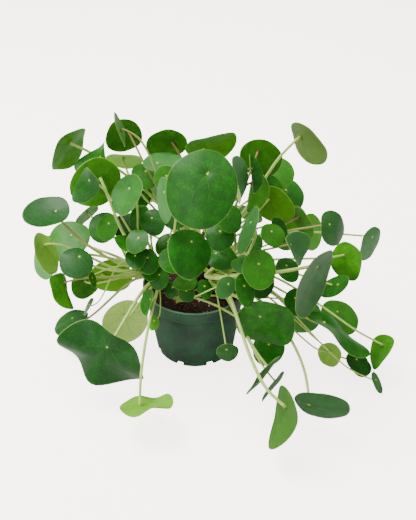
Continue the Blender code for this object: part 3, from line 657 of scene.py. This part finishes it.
def coarse_blade(leaf):
    """Corners of the solid's blade, both sides, to tell them from its stalk."""
    grid, _ = blade_grid(leaf, COARSE_PARTS[leaf.length > LARGE_BLADE], COARSE_AROUND, 0.0)
    lift = leaf_axes(leaf)[0] * BLADE_THICKNESS / 2
    return np.concatenate([(grid + lift).reshape(-1, 3), (grid - lift).reshape(-1, 3)])


def solid_seat(leaf):
    """Middle of the stalk's seat on the solid's underside."""
    normal, tip, _ = leaf_axes(leaf)
    a = -leaf.seat
    rise = float(form_height(leaf.form, np.array(a), np.array(0.0)))
    centre = np.array((leaf.x, leaf.y, leaf.z), float)
    return centre + leaf.length / 2 * (a * tip + rise * normal) - normal * BLADE_THICKNESS / 2


def stalk_from_frame(leaf):
    """Middle line of the solid's stalk, from the neck under the blade to the stem."""
    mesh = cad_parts["leaf_" + leaf.name].data
    corners = np.array([v.co[:] for v in mesh.vertices]) / UNIT
    corners = np.unique(np.round(corners, 2), axis=0)
    blade = coarse_blade(leaf)
    off_blade = [np.min(np.linalg.norm(blade - c, axis=1)) > SAME_CORNER for c in corners]
    corners = corners[np.array(off_blade)]
    seat = solid_seat(leaf)
    normal = leaf_axes(leaf)[0]
    neck_radius = 1.3 + 0.013 * leaf.length  # of the solid's stalk
    below = (seat - corners) @ normal
    near = np.linalg.norm(corners - seat, axis=1) < neck_radius * 1.3 + 1.3
    corners = corners[~(near & (below < NECK * 0.5))]
    here = seat - normal * NECK
    line = []
    while len(corners) >= SOLID_STALK_SIDES:
        first = corners[np.argmin(np.linalg.norm(corners - here, axis=1))]
        order = np.argsort(np.linalg.norm(corners - first, axis=1))
        here = corners[order[:SOLID_STALK_SIDES]].mean(axis=0)
        line.append(here)
        corners = corners[order[SOLID_STALK_SIDES:]]
    return line


print("bends in the stalk of", LEAVES[0].name + ":", len(stalk_from_frame(LEAVES[0])))

# %% [markdown]
# ## Growing a stalk
# The line is made smooth with a Catmull-Rom curve, which goes through every point it is given,
# and cut into even steps. A tube then follows it. Each ring keeps the side direction of the one
# before, as far as the bend allows, so the tube doesn't twist.

# %% Smooth line and tube
SPAN_STEPS = 12  # cuts of the curve between two of its points


def smooth_line(points, cuts):
    """An even Catmull-Rom curve through the points, and its length."""
    points = [np.asarray(p, float) for p in points]
    ends = [2 * points[0] - points[1]] + points + [2 * points[-1] - points[-2]]
    fine = []
    for k in range(len(points) - 1):
        p0, p1, p2, p3 = ends[k:k + 4]
        for t in np.linspace(0, 1, SPAN_STEPS, endpoint=False):
            fine.append(0.5 * (2 * p1 + (p2 - p0) * t + (2 * p0 - 5 * p1 + 4 * p2 - p3) * t * t
                               + (3 * p1 - p0 - 3 * p2 + p3) * t ** 3))
    fine = np.array(fine + [points[-1]])
    step = np.linalg.norm(np.diff(fine, axis=0), axis=1)
    run = np.concatenate([[0], np.cumsum(step)])
    even = np.linspace(0, run[-1], cuts)
    return np.stack([np.interp(even, run, fine[:, i]) for i in range(3)], axis=1), run[-1]


def tube(shell, line, radii, sides, slot, tint, side_hint):
    """A round tube along a line; x of the place runs from 1 at the first point to 0 at the last."""
    way = np.gradient(line, axis=0)
    way /= np.linalg.norm(way, axis=1, keepdims=True)
    side = np.asarray(side_hint, float)
    turn = np.linspace(0, 2 * math.pi, sides, endpoint=False)
    length = np.linalg.norm(np.diff(line, axis=0), axis=1).sum()
    rings = []
    for k, point in enumerate(line):
        side = side - way[k] * (side @ way[k])
        side /= np.linalg.norm(side)
        other = np.cross(way[k], side)
        ring = point + radii[k] * (np.cos(turn)[:, None] * side + np.sin(turn)[:, None] * other)
        up = 1 - k / (len(line) - 1)
        place = np.stack([np.full(sides, up), turn, np.full(sides, up * length)], axis=1)
        rings.append(shell.add_points(ring, place, tint))
    for a, b in zip(rings, rings[1:]):
        shell.add_faces(ring_faces(a, b, sides, True), slot)
    shell.add_faces([tuple(rings[0] + k for k in range(sides - 1, -1, -1))], slot)
    shell.add_faces([tuple(rings[-1] + k for k in range(sides))], slot)


trial_length = smooth_line(stalk_from_frame(LEAVES[0]), 30)[1]
print("stalk of", LEAVES[0].name, "is", round(trial_length / MM), "mm long")

# %% [markdown]
# A stalk is thin under the blade, thicker at its foot, and swells into a small joint where it
# leaves the stem. Right under the blade it flares into it. Long blades stand on much thicker
# stalks than small ones.

# %% Stalk
STALK_SIDES = 10
STALK_CUTS = 30
INTO_BLADE = 0.35  # the stalk's end is sunk into the blade's thickness
UNDER_BLADE = 1.2
INTO_STEM = 2.2
FLARE = 0.55
FLARE_LENGTH = 1.6


def stalk_radius(leaf):
    """Radius of a stalk half way, from the length of its blade."""
    return 0.4 + 0.026 * leaf.length


def grow_stalk(shell, leaf, line, seat, tint):
    """The stalk's tube from inside the blade's underside down into the stem; returns its length."""
    normal, tip, _ = leaf_axes(leaf)
    foot_way = (line[-1] - line[-2]) / np.linalg.norm(line[-1] - line[-2])
    whole = [seat + normal * INTO_BLADE, seat - normal * UNDER_BLADE]
    whole += list(line) + [line[-1] + foot_way * INTO_STEM]
    curve, length = smooth_line(whole, STALK_CUTS)
    t = np.linspace(0, 1, STALK_CUTS)
    foot_joint = 0.25 * np.clip((t - 0.9) / 0.1, 0, 1) ** 2
    radii = stalk_radius(leaf) * (0.80 + 0.32 * t + foot_joint)
    radii = radii * (1 + FLARE * np.exp(-((t * length / FLARE_LENGTH) ** 2)))
    tube(shell, curve, radii, STALK_SIDES, STALK, tint, tip)
    return length


thinnest, thickest = min(map(stalk_radius, LEAVES)), max(map(stalk_radius, LEAVES))
print("stalks from", round(2 * thinnest / MM, 1), "to", round(2 * thickest / MM, 1), "mm thick")

# %% [markdown]
# ## The tint of each leaf
# Leaves differ in age and light. Each gets a freshness, from -1 for an old dark leaf to 1 for
# a yellow-green one, and a seed that moves its mottling about. The freshness is partly the
# leaf's age and partly painted light and shade: lit leaves are made yellower, shaded ones darker.
# A blade also has a whitish painted light, a painted sheen on its upper side and a paler lift on
# a shaded underside, and its stalk a blush. The values are given here. Leaves that aren't named
# here get a freshness from the letters of their name.

# %% Freshness, blush and painted light
# Freshness per leaf: partly age, partly painted light and shade.
FRESH_AND_LIT = {
    "B1": -0.6, "B2": -0.7, "B4": 0.6, "B5": 0.7, "B6": 0.3, "L1": 0.15, "L2": -0.4, "L3": 0.0,
    "L4": -0.4, "L5": 0.1, "L6": -0.2, "L8": 0.8, "L9": -0.2, "L10": -0.7, "L11": 0.1, "L12": 0.5,
    "L13": 0.5, "L14": -0.8, "L16b": 0.6, "L18": -0.7, "L22": -0.1, "L23": -0.3, "L28": 0.2,
    "L33": -0.5, "M1": -0.6, "R1": -0.2, "R2": 0.15, "R4": 0.3, "R5": -0.9, "R7": -0.4, "R8": -0.2,
    "R10": -0.3, "R11": 0.75, "R12": -0.6, "R13": 0.0, "R15": -0.4, "R17": -0.5, "R18": -0.3,
    "R20": -0.5, "R21": -0.35, "R25": 0.0, "R28": 0.4, "R29": 0.2, "R31": 0.4, "R32": -0.4,
    "R33": -0.2, "R35": -0.3, "R36": -0.5, "R37": -0.7, "R38": -0.2, "R39": -0.2, "R43": 0.7,
}
BLUSH = {
    "B1": 0.8, "L2": 0.9, "L4": 0.8, "L5": 0.6, "L6": 0.9, "L7": 0.7, "L8": 0.3, "L9": 0.3,
    "L10": 0.8, "L15": 0.8, "R1": 0.9, "R5": 0.25, "R6": 0.9, "R7": 1.0, "R8": 1.0, "R9": 0.7,
    "R10": 0.9, "R11": 0.4, "R12": 0.8, "R15": 0.7, "R21": 0.2,
}
# Whitish painted light per blade: a painted sheen on upper sides, a lift on shaded undersides.
PAINTED_LIGHT = {
    "B4": 1.0, "B6": 0.1, "L7": 0.36, "L9": 0.22, "L12": 0.25, "L13": 0.7, "L14": 0.1, "L24": 0.5,
    "R5": 0.22, "R8": 0.6, "R12": 0.2, "R14": 0.4, "R15": 0.6, "R17": 0.35, "R23": 0.4,
    "R28": 0.5, "R31": 0.3, "R36": 0.1, "R37": 0.04,
}
FAINT_BLUSH = 0.05


def tints(name):
    """Blade tint and stalk tint: freshness, partly painted light and shade; painted light on the
    blade, blush on the stalk; seed.
    """
    seed = (sum(ord(c) * (i + 3) for i, c in enumerate(name)) * 37) % 101
    fresh = FRESH_AND_LIT.get(name, -0.30 + 0.15 * (seed % 4))
    painted_light, blush = PAINTED_LIGHT.get(name, 0.0), BLUSH.get(name, FAINT_BLUSH)
    return (fresh, painted_light, float(seed)), (fresh, blush, float(seed))


print("blushing stalks:", len(BLUSH), "and light_painted blades:", len(PAINTED_LIGHT))

# %% [markdown]
# ## All the leaves of the frame
# Now each leaf of the frame is grown, blade and stalk in one piece, and takes the place of its
# solid. Each one also leaves a search tree behind, so the young leaves can keep clear of it.

# %% Grow every leaf of the frame
leaf_materials = (upper_skin, under_skin, stalk_mat)
stalk_lengths = []
taken = []
for leaf in LEAVES:
    shell = Shell()
    blade_tint, stalk_tint = tints(leaf.name)
    seat = grow_blade(shell, leaf, blade_tint)
    stalk_lengths.append(grow_stalk(shell, leaf, stalk_from_frame(leaf), seat, stalk_tint))
    taken.append(shell.search_tree())
    piece = shell.build("foliage_" + leaf.name, leaf_materials)
    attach(piece, "root")
    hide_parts("leaf_" + leaf.name)
print("stalks from", round(min(stalk_lengths) / MM), "to", round(max(stalk_lengths) / MM), "mm long")

# %% [markdown]
# ## Young leaves
# These have no solid to follow, so their stalks take a plain curve with four handles: out of
# the stem, up, and into the underside of the blade.

# %% Stalk line of a young leaf


def stem_at(name, t):
    """Point on a stem's middle line and its radius, t from foot to crown."""
    foot, middle, crown, wide, narrow = STEMS[name]
    a, b, c = (np.array(v, float) for v in (foot, middle, crown))
    return a * (1 - t) ** 2 + b * 2 * t * (1 - t) + c * t * t, wide + (narrow - wide) * t


def young_line(leaf, seat, height, rise):
    """A plain curve from the seat to the stem: how far up the stem, how steeply it starts."""
    start, radius = stem_at(leaf.stem, height)
    normal = leaf_axes(leaf)[0]
    neck = seat - normal * NECK
    reach = neck - start
    length = np.linalg.norm(reach)
    level = np.array((reach[0], reach[1], 0))
    level /= np.linalg.norm(level) + 1e-9
    foot = start + level * radius * 0.6
    one = foot + (level * 0.75 + np.array((0, 0, rise))) * length * 0.33
    two = neck - normal * length * 0.2 - reach * 0.1
    t = np.linspace(1, 0, 7)[:, None]
    return list(foot * (1 - t) ** 3 + one * 3 * t * (1 - t) ** 2
                + two * 3 * t * t * (1 - t) + neck * t ** 3)


print("the left stem's crown is at", stem_at("left", 1.0)[0])

# %% [markdown]
# A young blade that would cut through a neighbour is pushed toward the camera or away from it,
# a little further each time, until it is clear. From there its stalk tries other feet and other
# arches, and takes the first that meets nothing. One slight touch deep among the stalks is let
# pass, because real stalks lie against each other there.

# %% Finding room
PUSHES = (0, -8, 8, -16, 16, -26, 26, -38, 38, 50, -50, 64)
RISES = (0.65, 0.35, 1.0, 0.1)
FOOT_HEIGHTS = (0.9, 0.7, 0.5, 0.98, 0.3)


def cuts(tree):
    """How many bodies a tree runs into."""
    return sum(1 for other in taken if tree.overlap(other))


def frame_tree(name):
    """A search tree of one solid of the frame."""
    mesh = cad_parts[name].data
    corners = [tuple(c / UNIT for c in v.co) for v in mesh.vertices]
    return BVHTree.FromPolygons(corners, [tuple(p.vertices) for p in mesh.polygons])


def clearest_stalk(leaf, seat):
    """The stalk line that meets the fewest bodies, with their number and its search tree."""
    best = None
    for rise in RISES:
        for height in FOOT_HEIGHTS:
            line = young_line(leaf, seat, height, rise)
            stalk = Shell()
            grow_stalk(stalk, leaf, line[:-1], seat, (0, 0, 0))
            tree = stalk.search_tree()
            hits = cuts(tree)
            if best is None or hits < best[0]:
                best = (hits, line, tree)
            if hits == 0:
                return best
    return best


def place_young(leaf):
    """The nearest clear place for a young leaf and a line for its stalk, or nothing."""
    for push in PUSHES:
        x, y, z = (c + push * v for c, v in zip((leaf.x, leaf.y, leaf.z), toward_camera))
        moved = leaf._replace(x=x, y=y, z=z)
        blade = Shell()
        seat = grow_blade(blade, moved, (0, 0, 0))
        blade_tree = blade.search_tree()
        if cuts(blade_tree):
            continue
        hits, line, stalk_tree = clearest_stalk(moved, seat)
        if hits <= 1:
            taken.extend([blade_tree, stalk_tree])
            return moved, line
    return None


taken += [frame_tree("pot"), frame_tree("soil")]
print("bodies to keep clear of:", len(taken))

# %% [markdown]
# All the young leaves that one stem bears make one piece. That keeps the number of pieces small.

# %% Grow the young leaves
left_out = []
for stem in STEMS:
    shell = Shell()
    for leaf in (leaf for leaf in YOUNG_LEAVES if leaf.stem == stem):
        found = place_young(leaf)
        if found is None:
            left_out.append(leaf.name)
            continue
        placed, line = found
        blade_tint, stalk_tint = tints(leaf.name)
        seat = grow_blade(shell, placed, blade_tint)
        grow_stalk(shell, placed, line, seat, stalk_tint)
    piece = shell.build("young_foliage_" + stem, leaf_materials)
    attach(piece, "root")
print("young leaves grown:", len(YOUNG_LEAVES) - len(left_out), "and without room:", left_out)

# %% [markdown]
# ## Stems
# The stems are short, woody and brown, ringed by the scars of old leaves. Bark is dry and
# rough, so it hardly shines. The rings are real shape, and the bark's grain is left to bump.

# %% Stem bark
BARK_GRAIN = 2.5  # mm
BARK_PATCH = 11.1  # mm


def stem_bark():
    """Brown bark with paler scars round it."""
    mat, tree, shader = new_material("woody_stem_bark", 0.75, 1.5)
    where = add(tree, "TexCoord")["Object"]
    grain = add(tree, "TexNoise", {"Vector": where, "Scale": 1000 / BARK_GRAIN, "Detail": 4.0})[0]
    cloud = add(tree, "TexNoise", {"Vector": where, "Scale": 1000 / BARK_PATCH, "Detail": 2.0})[0]
    patch = add(tree, "MapRange", (cloud, 0.35, 0.65, 0.0, 1.0))[0]
    scar = add(tree, "MapRange", (grain, 0.55, 0.75, 0.0, 0.6))[0]
    paint(tree, shader, "#4a2a1c", ((patch, "#7a5236"), (scar, "#9a8a52")), grain, 0.6, 0.6)
    print("material:", mat.name)
    return mat


bark_mat = stem_bark()

# %% [markdown]
# Each stem is a tube along its own curve, from just inside the soil to a blunt crown. Between
# the scars its radius swells, nine times on the way up.

# %% Stem pieces
STEM_SIDES = 16
STEM_CUTS = 60
JOINTS = 9
IN_SOIL = 3.0
CROWN_CUTS = 6  # the last cuts close in to the blunt crown
for stem in STEMS:
    shell = Shell()
    t = np.linspace(0, 1, STEM_CUTS)
    line = np.array([stem_at(stem, v)[0] for v in t])
    line[0] -= (0, 0, IN_SOIL)
    radii = np.array([stem_at(stem, v)[1] for v in t])
    off_joint = np.abs((t * JOINTS) % 1 - 0.5)
    radii = radii * (0.86 + 0.20 * np.exp(-((off_joint / 0.16) ** 2)))
    radii[-CROWN_CUTS:] *= np.linspace(1, 0.35, CROWN_CUTS)
    tube(shell, line, radii, STEM_SIDES, 0, (0, 0, 0), (1, 0, 0))
    piece = shell.build("bark_" + stem, (bark_mat,))
    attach(piece, "root")
    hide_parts("stem_" + stem)
print("stem pieces:", len(STEMS))

# %% [markdown]
# ## The pot's measures
# The pot is turned, so it is a handful of radii and heights. The soil needs its wall too, so
# they come before both.

# %% Measures of the pot
POT_RIM_RADIUS = 86.5
POT_BASE_RADIUS = 66.5
POT_HEIGHT = 128.5
POT_WALL = 2.0
POT_FLOOR = 2.8
BAND_HEIGHT = 22.0
BAND_STEP = 2.6


def wall_outside(height):
    """Outside radius of the pot's wall below the band."""
    slope = (POT_RIM_RADIUS - BAND_STEP - POT_BASE_RADIUS) / POT_HEIGHT
    return POT_BASE_RADIUS + slope * height


print("pot:", round(2 * POT_RIM_RADIUS / MM), "mm across,", round(POT_HEIGHT / MM), "mm tall")

# %% [markdown]
# ## Soil
# Potting mix is dark red-brown peat with bark crumbs and white perlite. All three are dry and
# crumbly, so they are rough and matt with a strong relief. They differ in two tones and in how
# coarse their grain is.

# %% Peat, bark crumbs and perlite


def rough_matter(name, dark, light, grain_mm, roughness, strength):
    """A crumbly matt matter: two tones and strong grain."""
    mat, tree, shader = new_material(name, roughness, 1.5)
    where = add(tree, "TexCoord")["Object"]
    grain = add(tree, "TexNoise", {"Vector": where, "Scale": 1000 / grain_mm, "Detail": 6.0})[0]
    lit = add(tree, "MapRange", (grain, 0.38, 0.66, 0.0, 1.0))[0]
    paint(tree, shader, dark, ((lit, light),), grain, strength, 1.0)
    print("material:", name)
    return mat


soil_mat = rough_matter("peat_potting_mix", "#170e0b", "#4c2f25", 2.381, 0.95, 1.0)
crumb_mat = rough_matter("bark_crumbs", "#26160f", "#70493a", 3.333, 0.9, 0.6)
perlite_mat = rough_matter("perlite_grains", "#cfc8bb", "#f0ece2", 0.8333, 0.85, 0.4)

# %% [markdown]
# The soil's surface is a round sheet, pushed up and down by noise of three sizes and mounded
# round each stem. Under it is a plain block that fills the pot.

# %% Soil body
SOIL_LEVEL = 115.5
SOIL_AROUND = 120
SOIL_RINGS = 44
SOIL_FOOT = 9.8
SOIL_SHOULDER = 104.0
ROUGHNESS = ((0.05, 1.0, 2.2), (0.22, 5.0, 1.5), (0.7, 9.0, 0.7))  # waves to a unit, layer, height
MOUND_HEIGHT = 3.0
MOUND_RADIUS = 11.0


def soil_height(x, y):
    """Height of the soil surface."""
    rough = sum(noise.noise(Vector((x * fine, y * fine, layer))) * high
                for fine, layer, high in ROUGHNESS)
    for foot, *_ in STEMS.values():
        away = math.hypot(x - foot[0], y - foot[1])
        rough += MOUND_HEIGHT * math.exp(-((away / MOUND_RADIUS) ** 2))
    return SOIL_LEVEL - 1.0 + rough


def soil_body():
    """A turned block under a rough disc."""
    shell = Shell()
    rows = [(0.0, SOIL_FOOT), (wall_outside(SOIL_FOOT) - POT_WALL - 0.5, SOIL_FOOT),
            (wall_outside(SOIL_SHOULDER) - POT_WALL - 0.5, SOIL_SHOULDER)]
    top_radius = wall_outside(SOIL_SHOULDER) - POT_WALL + 0.4
    rows += [(top_radius * part, None) for part in np.linspace(1.0, 0.02, SOIL_RINGS)]
    first = []
    for radius, height in rows:
        ring = []
        for k in range(SOIL_AROUND):
            turn = 2 * math.pi * k / SOIL_AROUND
            x, y = radius * math.cos(turn), radius * math.sin(turn)
            ring.append((x, y, soil_height(x, y) if height is None else height))
        first.append(shell.add_points(ring if radius else ring[:1]))
    shell.add_faces(fan_faces(first[0], first[1], SOIL_AROUND, True))
    for a, b in zip(first[1:], first[2:]):
        shell.add_faces(ring_faces(a, b, SOIL_AROUND, True))
    shell.add_faces([tuple(first[-1] + k for k in range(SOIL_AROUND))])
    return shell.build("peat_mix", (soil_mat,))


soil_piece = soil_body()
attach(soil_piece, "root")
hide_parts("soil")
print("soil surface at about", round(SOIL_LEVEL / MM), "mm")

# %% [markdown]
# A few hundred separate crumbs and some perlite grains lie on the soil, because those are what
# the eye catches. Each is a small ball with its corners pulled about, flattened and turned. The
# dice start from a fixed number, so they fall the same way every time.

# %% Crumbs and perlite grains
LITTER_RADIUS = 77
UNEVEN = 0.28


def lumps(name, count, small, large, squash, mat, seed):
    """Many little irregular stones on the soil, gathered in one piece."""
    dice = np.random.default_rng(seed)
    shell = Shell()
    ball = bmesh.new()
    bmesh.ops.create_icosphere(ball, subdivisions=1, radius=1.0)
    corners = np.array([v.co[:] for v in ball.verts])
    faces = [tuple(v.index for v in f.verts) for f in ball.faces]
    ball.free()
    for _ in range(count):
        radius = LITTER_RADIUS * math.sqrt(dice.random())
        turn = dice.random() * 2 * math.pi
        x, y = radius * math.cos(turn), radius * math.sin(turn)
        size = small + (large - small) * dice.random() ** 2
        shape = corners * (1 + UNEVEN * dice.standard_normal(corners.shape)) * size
        shape = shape * np.array((1, 0.6 + 0.5 * dice.random(), squash))
        spin = dice.random() * 2 * math.pi
        turned = shape.copy()
        turned[:, 0] = shape[:, 0] * math.cos(spin) - shape[:, 1] * math.sin(spin)
        turned[:, 1] = shape[:, 0] * math.sin(spin) + shape[:, 1] * math.cos(spin)
        first = shell.add_points(np.array((x, y, soil_height(x, y) + size * 0.15)) + turned)
        shell.add_faces([tuple(first + v for v in face) for face in faces])
    piece = shell.build(name, (mat,))
    piece.data.polygons.foreach_set("use_smooth", [False] * len(piece.data.polygons))
    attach(piece, "root")
    print(name + ":", count)


lumps("bark_crumbs", 700, 0.8, 3.2, 0.55, crumb_mat, 11)
lumps("perlite_grains", 46, 0.5, 2.2, 0.75, perlite_mat, 12)

# %% [markdown]
# ## Pot
# The pot is polypropylene, moulded thin. That plastic is half matt, with an IOR of 1.49. It is
# dark green, clouded by a haze of dust from the potting mix, with a painted highlight: the lip is
# painted paler where its top faces the sky. The coarse haze shows best as a slow change of green.

# %% Pot plastic
HAZE = 29.41  # mm
DUST_SPECK = 2.381  # mm, coarser than real dust so that it shows
MOULD_RIPPLE = 16.67  # mm


def pot_plastic():
    """Satin polypropylene, clouded by dust, with a painted highlight along the lip."""
    mat, tree, shader = new_material("moulded_polypropylene", 0.45, 1.49, Specular_IOR_Level=0.35)
    where = add(tree, "TexCoord")["Object"]
    haze = add(tree, "TexNoise", {"Vector": where, "Scale": 1000 / HAZE, "Detail": 6.0})[0]
    specks = add(tree, "TexNoise", {"Vector": where, "Scale": 1000 / DUST_SPECK, "Detail": 3.0})[0]
    ripple = add(tree, "TexNoise", {"Vector": where, "Scale": 1000 / MOULD_RIPPLE, "Detail": 2.0})[0]
    height = add(tree, "SeparateXYZ", (where,))[2]
    clouded = add(tree, "MapRange", (haze, 0.38, 0.64, 0.0, 1.0))[0]
    dust = add(tree, "MapRange", (specks, 0.62, 0.74, 0.0, 0.35))[0]
    lip = ((POT_HEIGHT - 1.0) * UNIT, (POT_HEIGHT - 0.2) * UNIT)
    # painted highlight: the top of the lip is painted paler
    painted_lip_highlight = add(tree, "MapRange", (height, *lip, 0.0, 0.55))[0]
    rough = add(tree, "MapRange", (haze, 0.3, 0.7, 0.40, 0.55))[0]
    tree.links.new(rough, shader.inputs["Roughness"])
    coats = ((clouded, "#1a4b2c"), (dust, "#6f8a72"), (painted_lip_highlight, "#7fa98a"))
    paint(tree, shader, "#0e321d", coats, ripple, 0.15, 1.0)
    print("material:", mat.name)
    return mat


pot_mat = pot_plastic()

# %% [markdown]
# The pot's half section runs up the outside, over the rolled lip and down the inside, and is
# turned round the axis. A pot like this steps out into a band under the rim, which stiffens it.

# %% Turned pot
POT_AROUND = 160


def pot_profile():
    """Half section of the pot, outside from the foot to the lip and back down inside."""
    rim, base, top = POT_RIM_RADIUS, POT_BASE_RADIUS, POT_HEIGHT
    band = POT_HEIGHT - BAND_HEIGHT
    outside = [(0.0, 0.0), (base - 4.0, 0.0), (base - 1.2, 0.0), (base - 0.35, 0.35), (base, 1.2),
               (wall_outside(12), 12.0), (wall_outside(50), 50.0),
               (wall_outside(band - 2.6), band - 2.6), (wall_outside(band) - 0.9, band - 1.2)]
    step = [(wall_outside(band) - 0.6, band), (rim - 1.7, band + 0.8), (rim - 1.15, band + 1.9),
            (rim - 0.9, band + 4.0)]
    lip = [(rim - 0.2, top - 2.5), (rim, top - 1.1), (rim - 0.3, top - 0.3), (rim - 0.9, top),
           (rim - 3.2, top), (rim - 3.8, top - 0.4), (rim - 4.0, top - 1.4)]
    inside = [(wall_outside(band) - POT_WALL + 1.0, band + 2.0),
              (wall_outside(band) - POT_WALL, band - 2.0),
              (wall_outside(POT_FLOOR) - POT_WALL, POT_FLOOR), (0.0, POT_FLOOR)]
    return outside + step + lip + inside


def turned_pot():
    """The profile turned round the pot's axis."""
    shell = Shell()
    turn = np.linspace(0, 2 * math.pi, POT_AROUND, endpoint=False)
    first = []
    for radius, height in pot_profile():
        level = np.full(POT_AROUND, height)
        ring = np.stack([radius * np.cos(turn), radius * np.sin(turn), level], axis=1)
        first.append(shell.add_points(ring if radius else ring[:1]))
    shell.add_faces(fan_faces(first[0], first[1], POT_AROUND, True))
    for a, b in zip(first[1:-2], first[2:-1]):
        shell.add_faces(ring_faces(a, b, POT_AROUND, True))
    shell.add_faces(fan_faces(first[-1], first[-2], POT_AROUND, False))
    return shell.build("green_pot", (pot_mat,))


pot_piece = turned_pot()
print("section of the pot:", len(pot_profile()), "points")

# %% [markdown]
# Water leaves through eight notches in the foot. They are cut out of the turned pot with a
# Boolean modifier, whose result is kept as the mesh, and the blocks that cut them are removed.

# %% Drainage notches
DRAIN_NOTCHES = 8
NOTCH_SIZE = (15.0, 12.5, 12.0)  # through the wall, wide, high
NOTCH_CENTRE = (65.0, 0.0, 2.0)


def notch_cutter():
    """Blocks that open the drainage notches, all in one mesh."""
    work = bmesh.new()
    for k in range(DRAIN_NOTCHES):
        made = bmesh.ops.create_cube(work, size=1.0)["verts"]
        bmesh.ops.scale(work, vec=[v * UNIT for v in NOTCH_SIZE], verts=made)
        bmesh.ops.translate(work, vec=[v * UNIT for v in NOTCH_CENTRE], verts=made)
        matrix = Matrix.Rotation(2 * math.pi * (k + 0.5) / DRAIN_NOTCHES, 3, "Z")
        bmesh.ops.rotate(work, cent=(0, 0, 0), matrix=matrix, verts=made)
    mesh = bpy.data.meshes.new("notches")
    work.to_mesh(mesh)
    work.free()
    return bpy.data.objects.new("notches", mesh)


cutter = notch_cutter()
bpy.context.scene.collection.objects.link(cutter)
cut = pot_piece.modifiers.new("notches", "BOOLEAN")
cut.object = cutter
cut.solver = "EXACT"
graph = bpy.context.evaluated_depsgraph_get()
cut_mesh = bpy.data.meshes.new_from_object(pot_piece.evaluated_get(graph))
pot_piece.modifiers.clear()
pot_piece.data = cut_mesh
bpy.data.objects.remove(cutter, do_unlink=True)
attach(pot_piece, "root")
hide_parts("pot")
print("pot faces:", len(pot_piece.data.polygons))

# %% [markdown]
# ## Floor
# A plain pale floor runs back to the horizon. It glows a little, like a studio table of white
# acrylic that is lit from under, so the plant stands on almost pure white and its shadow is soft.

# %% Floor
FLOOR_GLOW = 4.3
FLOOR_HALF = 12.0  # metres
FLOOR_DROP = 0.0005  # metres below the pot, so the two faces don't flicker
FLOOR_CLOUDS = 1.5  # soft patches across the floor's width
floor_mat, floor_tree, floor_shader = new_material("pale_floor", 0.9, 1.45, Specular_IOR_Level=0.1)
cloud = add(floor_tree, "TexNoise", {"Scale": FLOOR_CLOUDS, "Detail": 1.0})[0]
tones = {0: cloud, 6: colour("#efedeb"), 7: colour("#f4f3f2")}
floor_tone = add(floor_tree, "Mix", tones, data_type="RGBA")[2]
floor_tree.links.new(floor_tone, floor_shader.inputs["Base Color"])
seen = add(floor_tree, "LightPath")["Is Camera Ray"]
glow = add(floor_tree, "Math", (seen, FLOOR_GLOW), operation="MULTIPLY")[0]
floor_tree.links.new(glow, floor_shader.inputs["Emission Strength"])
floor_shader.inputs["Emission Color"].default_value = colour("#fdf7f0")
floor_mesh = bpy.data.meshes.new("floor")
corners = [(x * FLOOR_HALF, y * FLOOR_HALF, 0) for x, y in ((-1, -1), (1, -1), (1, 1), (-1, 1))]
floor_mesh.from_pydata(corners, [], [(0, 1, 2, 3)])
floor_mesh.materials.append(floor_mat)
floor = bpy.data.objects.new("floor", floor_mesh)
floor.location.z = -FLOOR_DROP
bpy.context.scene.collection.objects.link(floor)
print("floor:", 2 * FLOOR_HALF, "m square")

# %% [markdown]
# ## Light
# One large soft lamp stands above and a little behind. It shines through the upper leaves and
# lays a soft sheen on those that face up. A weaker one from the front opens the shadows.

# %% Lamps


def lamp(name, place, size, watts, tone):
    """A square area lamp aimed at the heart of the plant; place and size are in metres."""
    data = bpy.data.lights.new(name, "AREA")
    data.shape = "SQUARE"
    data.size = size
    data.energy = watts
    data.color = colour(tone)[:3]
    thing = bpy.data.objects.new(name, data)
    thing.location = place
    heart = Vector((0.0, 0.0, 0.2))
    thing.rotation_euler = (Vector(place) - heart).to_track_quat("Z", "Y").to_euler()
    bpy.context.scene.collection.objects.link(thing)


lamp("sky_lamp", (-0.9, 0.3, 2.1), 1.2, 92.0, "#fffdf8")
lamp("front_fill", (-1.3, -2.0, 1.5), 1.6, 26.0, "#ffffff")
print("lamps:", len(bpy.data.lights))

# %% [markdown]
# The sky gives the rest: dim near the horizon, brighter overhead. Where it is seen directly it
# is as white as the floor, so no line shows where the two meet.

# %% Sky
SKY_LOW, SKY_HIGH = 0.28, 1.15  # strength near the horizon and overhead
SKY_SEEN = 5.4  # added where the sky is seen directly
world = bpy.data.worlds.new("studio")
world.use_nodes = True
sky_tree = world.node_tree
way = add(sky_tree, "TexCoord")["Generated"]
way_up = add(sky_tree, "SeparateXYZ", (way,))[2]
brightness = add(sky_tree, "MapRange", (way_up, 0.15, 1.0, SKY_LOW, SKY_HIGH))[0]
seen = add(sky_tree, "LightPath")["Is Camera Ray"]
strength = add(sky_tree, "Math", (seen, SKY_SEEN, brightness), operation="MULTIPLY_ADD")[0]
sky = sky_tree.nodes["Background"]
sky.inputs["Color"].default_value = colour("#f4f4f6")
sky_tree.links.new(strength, sky.inputs["Strength"])
bpy.context.scene.world = world
print("sky from", SKY_LOW, "to", SKY_HIGH)
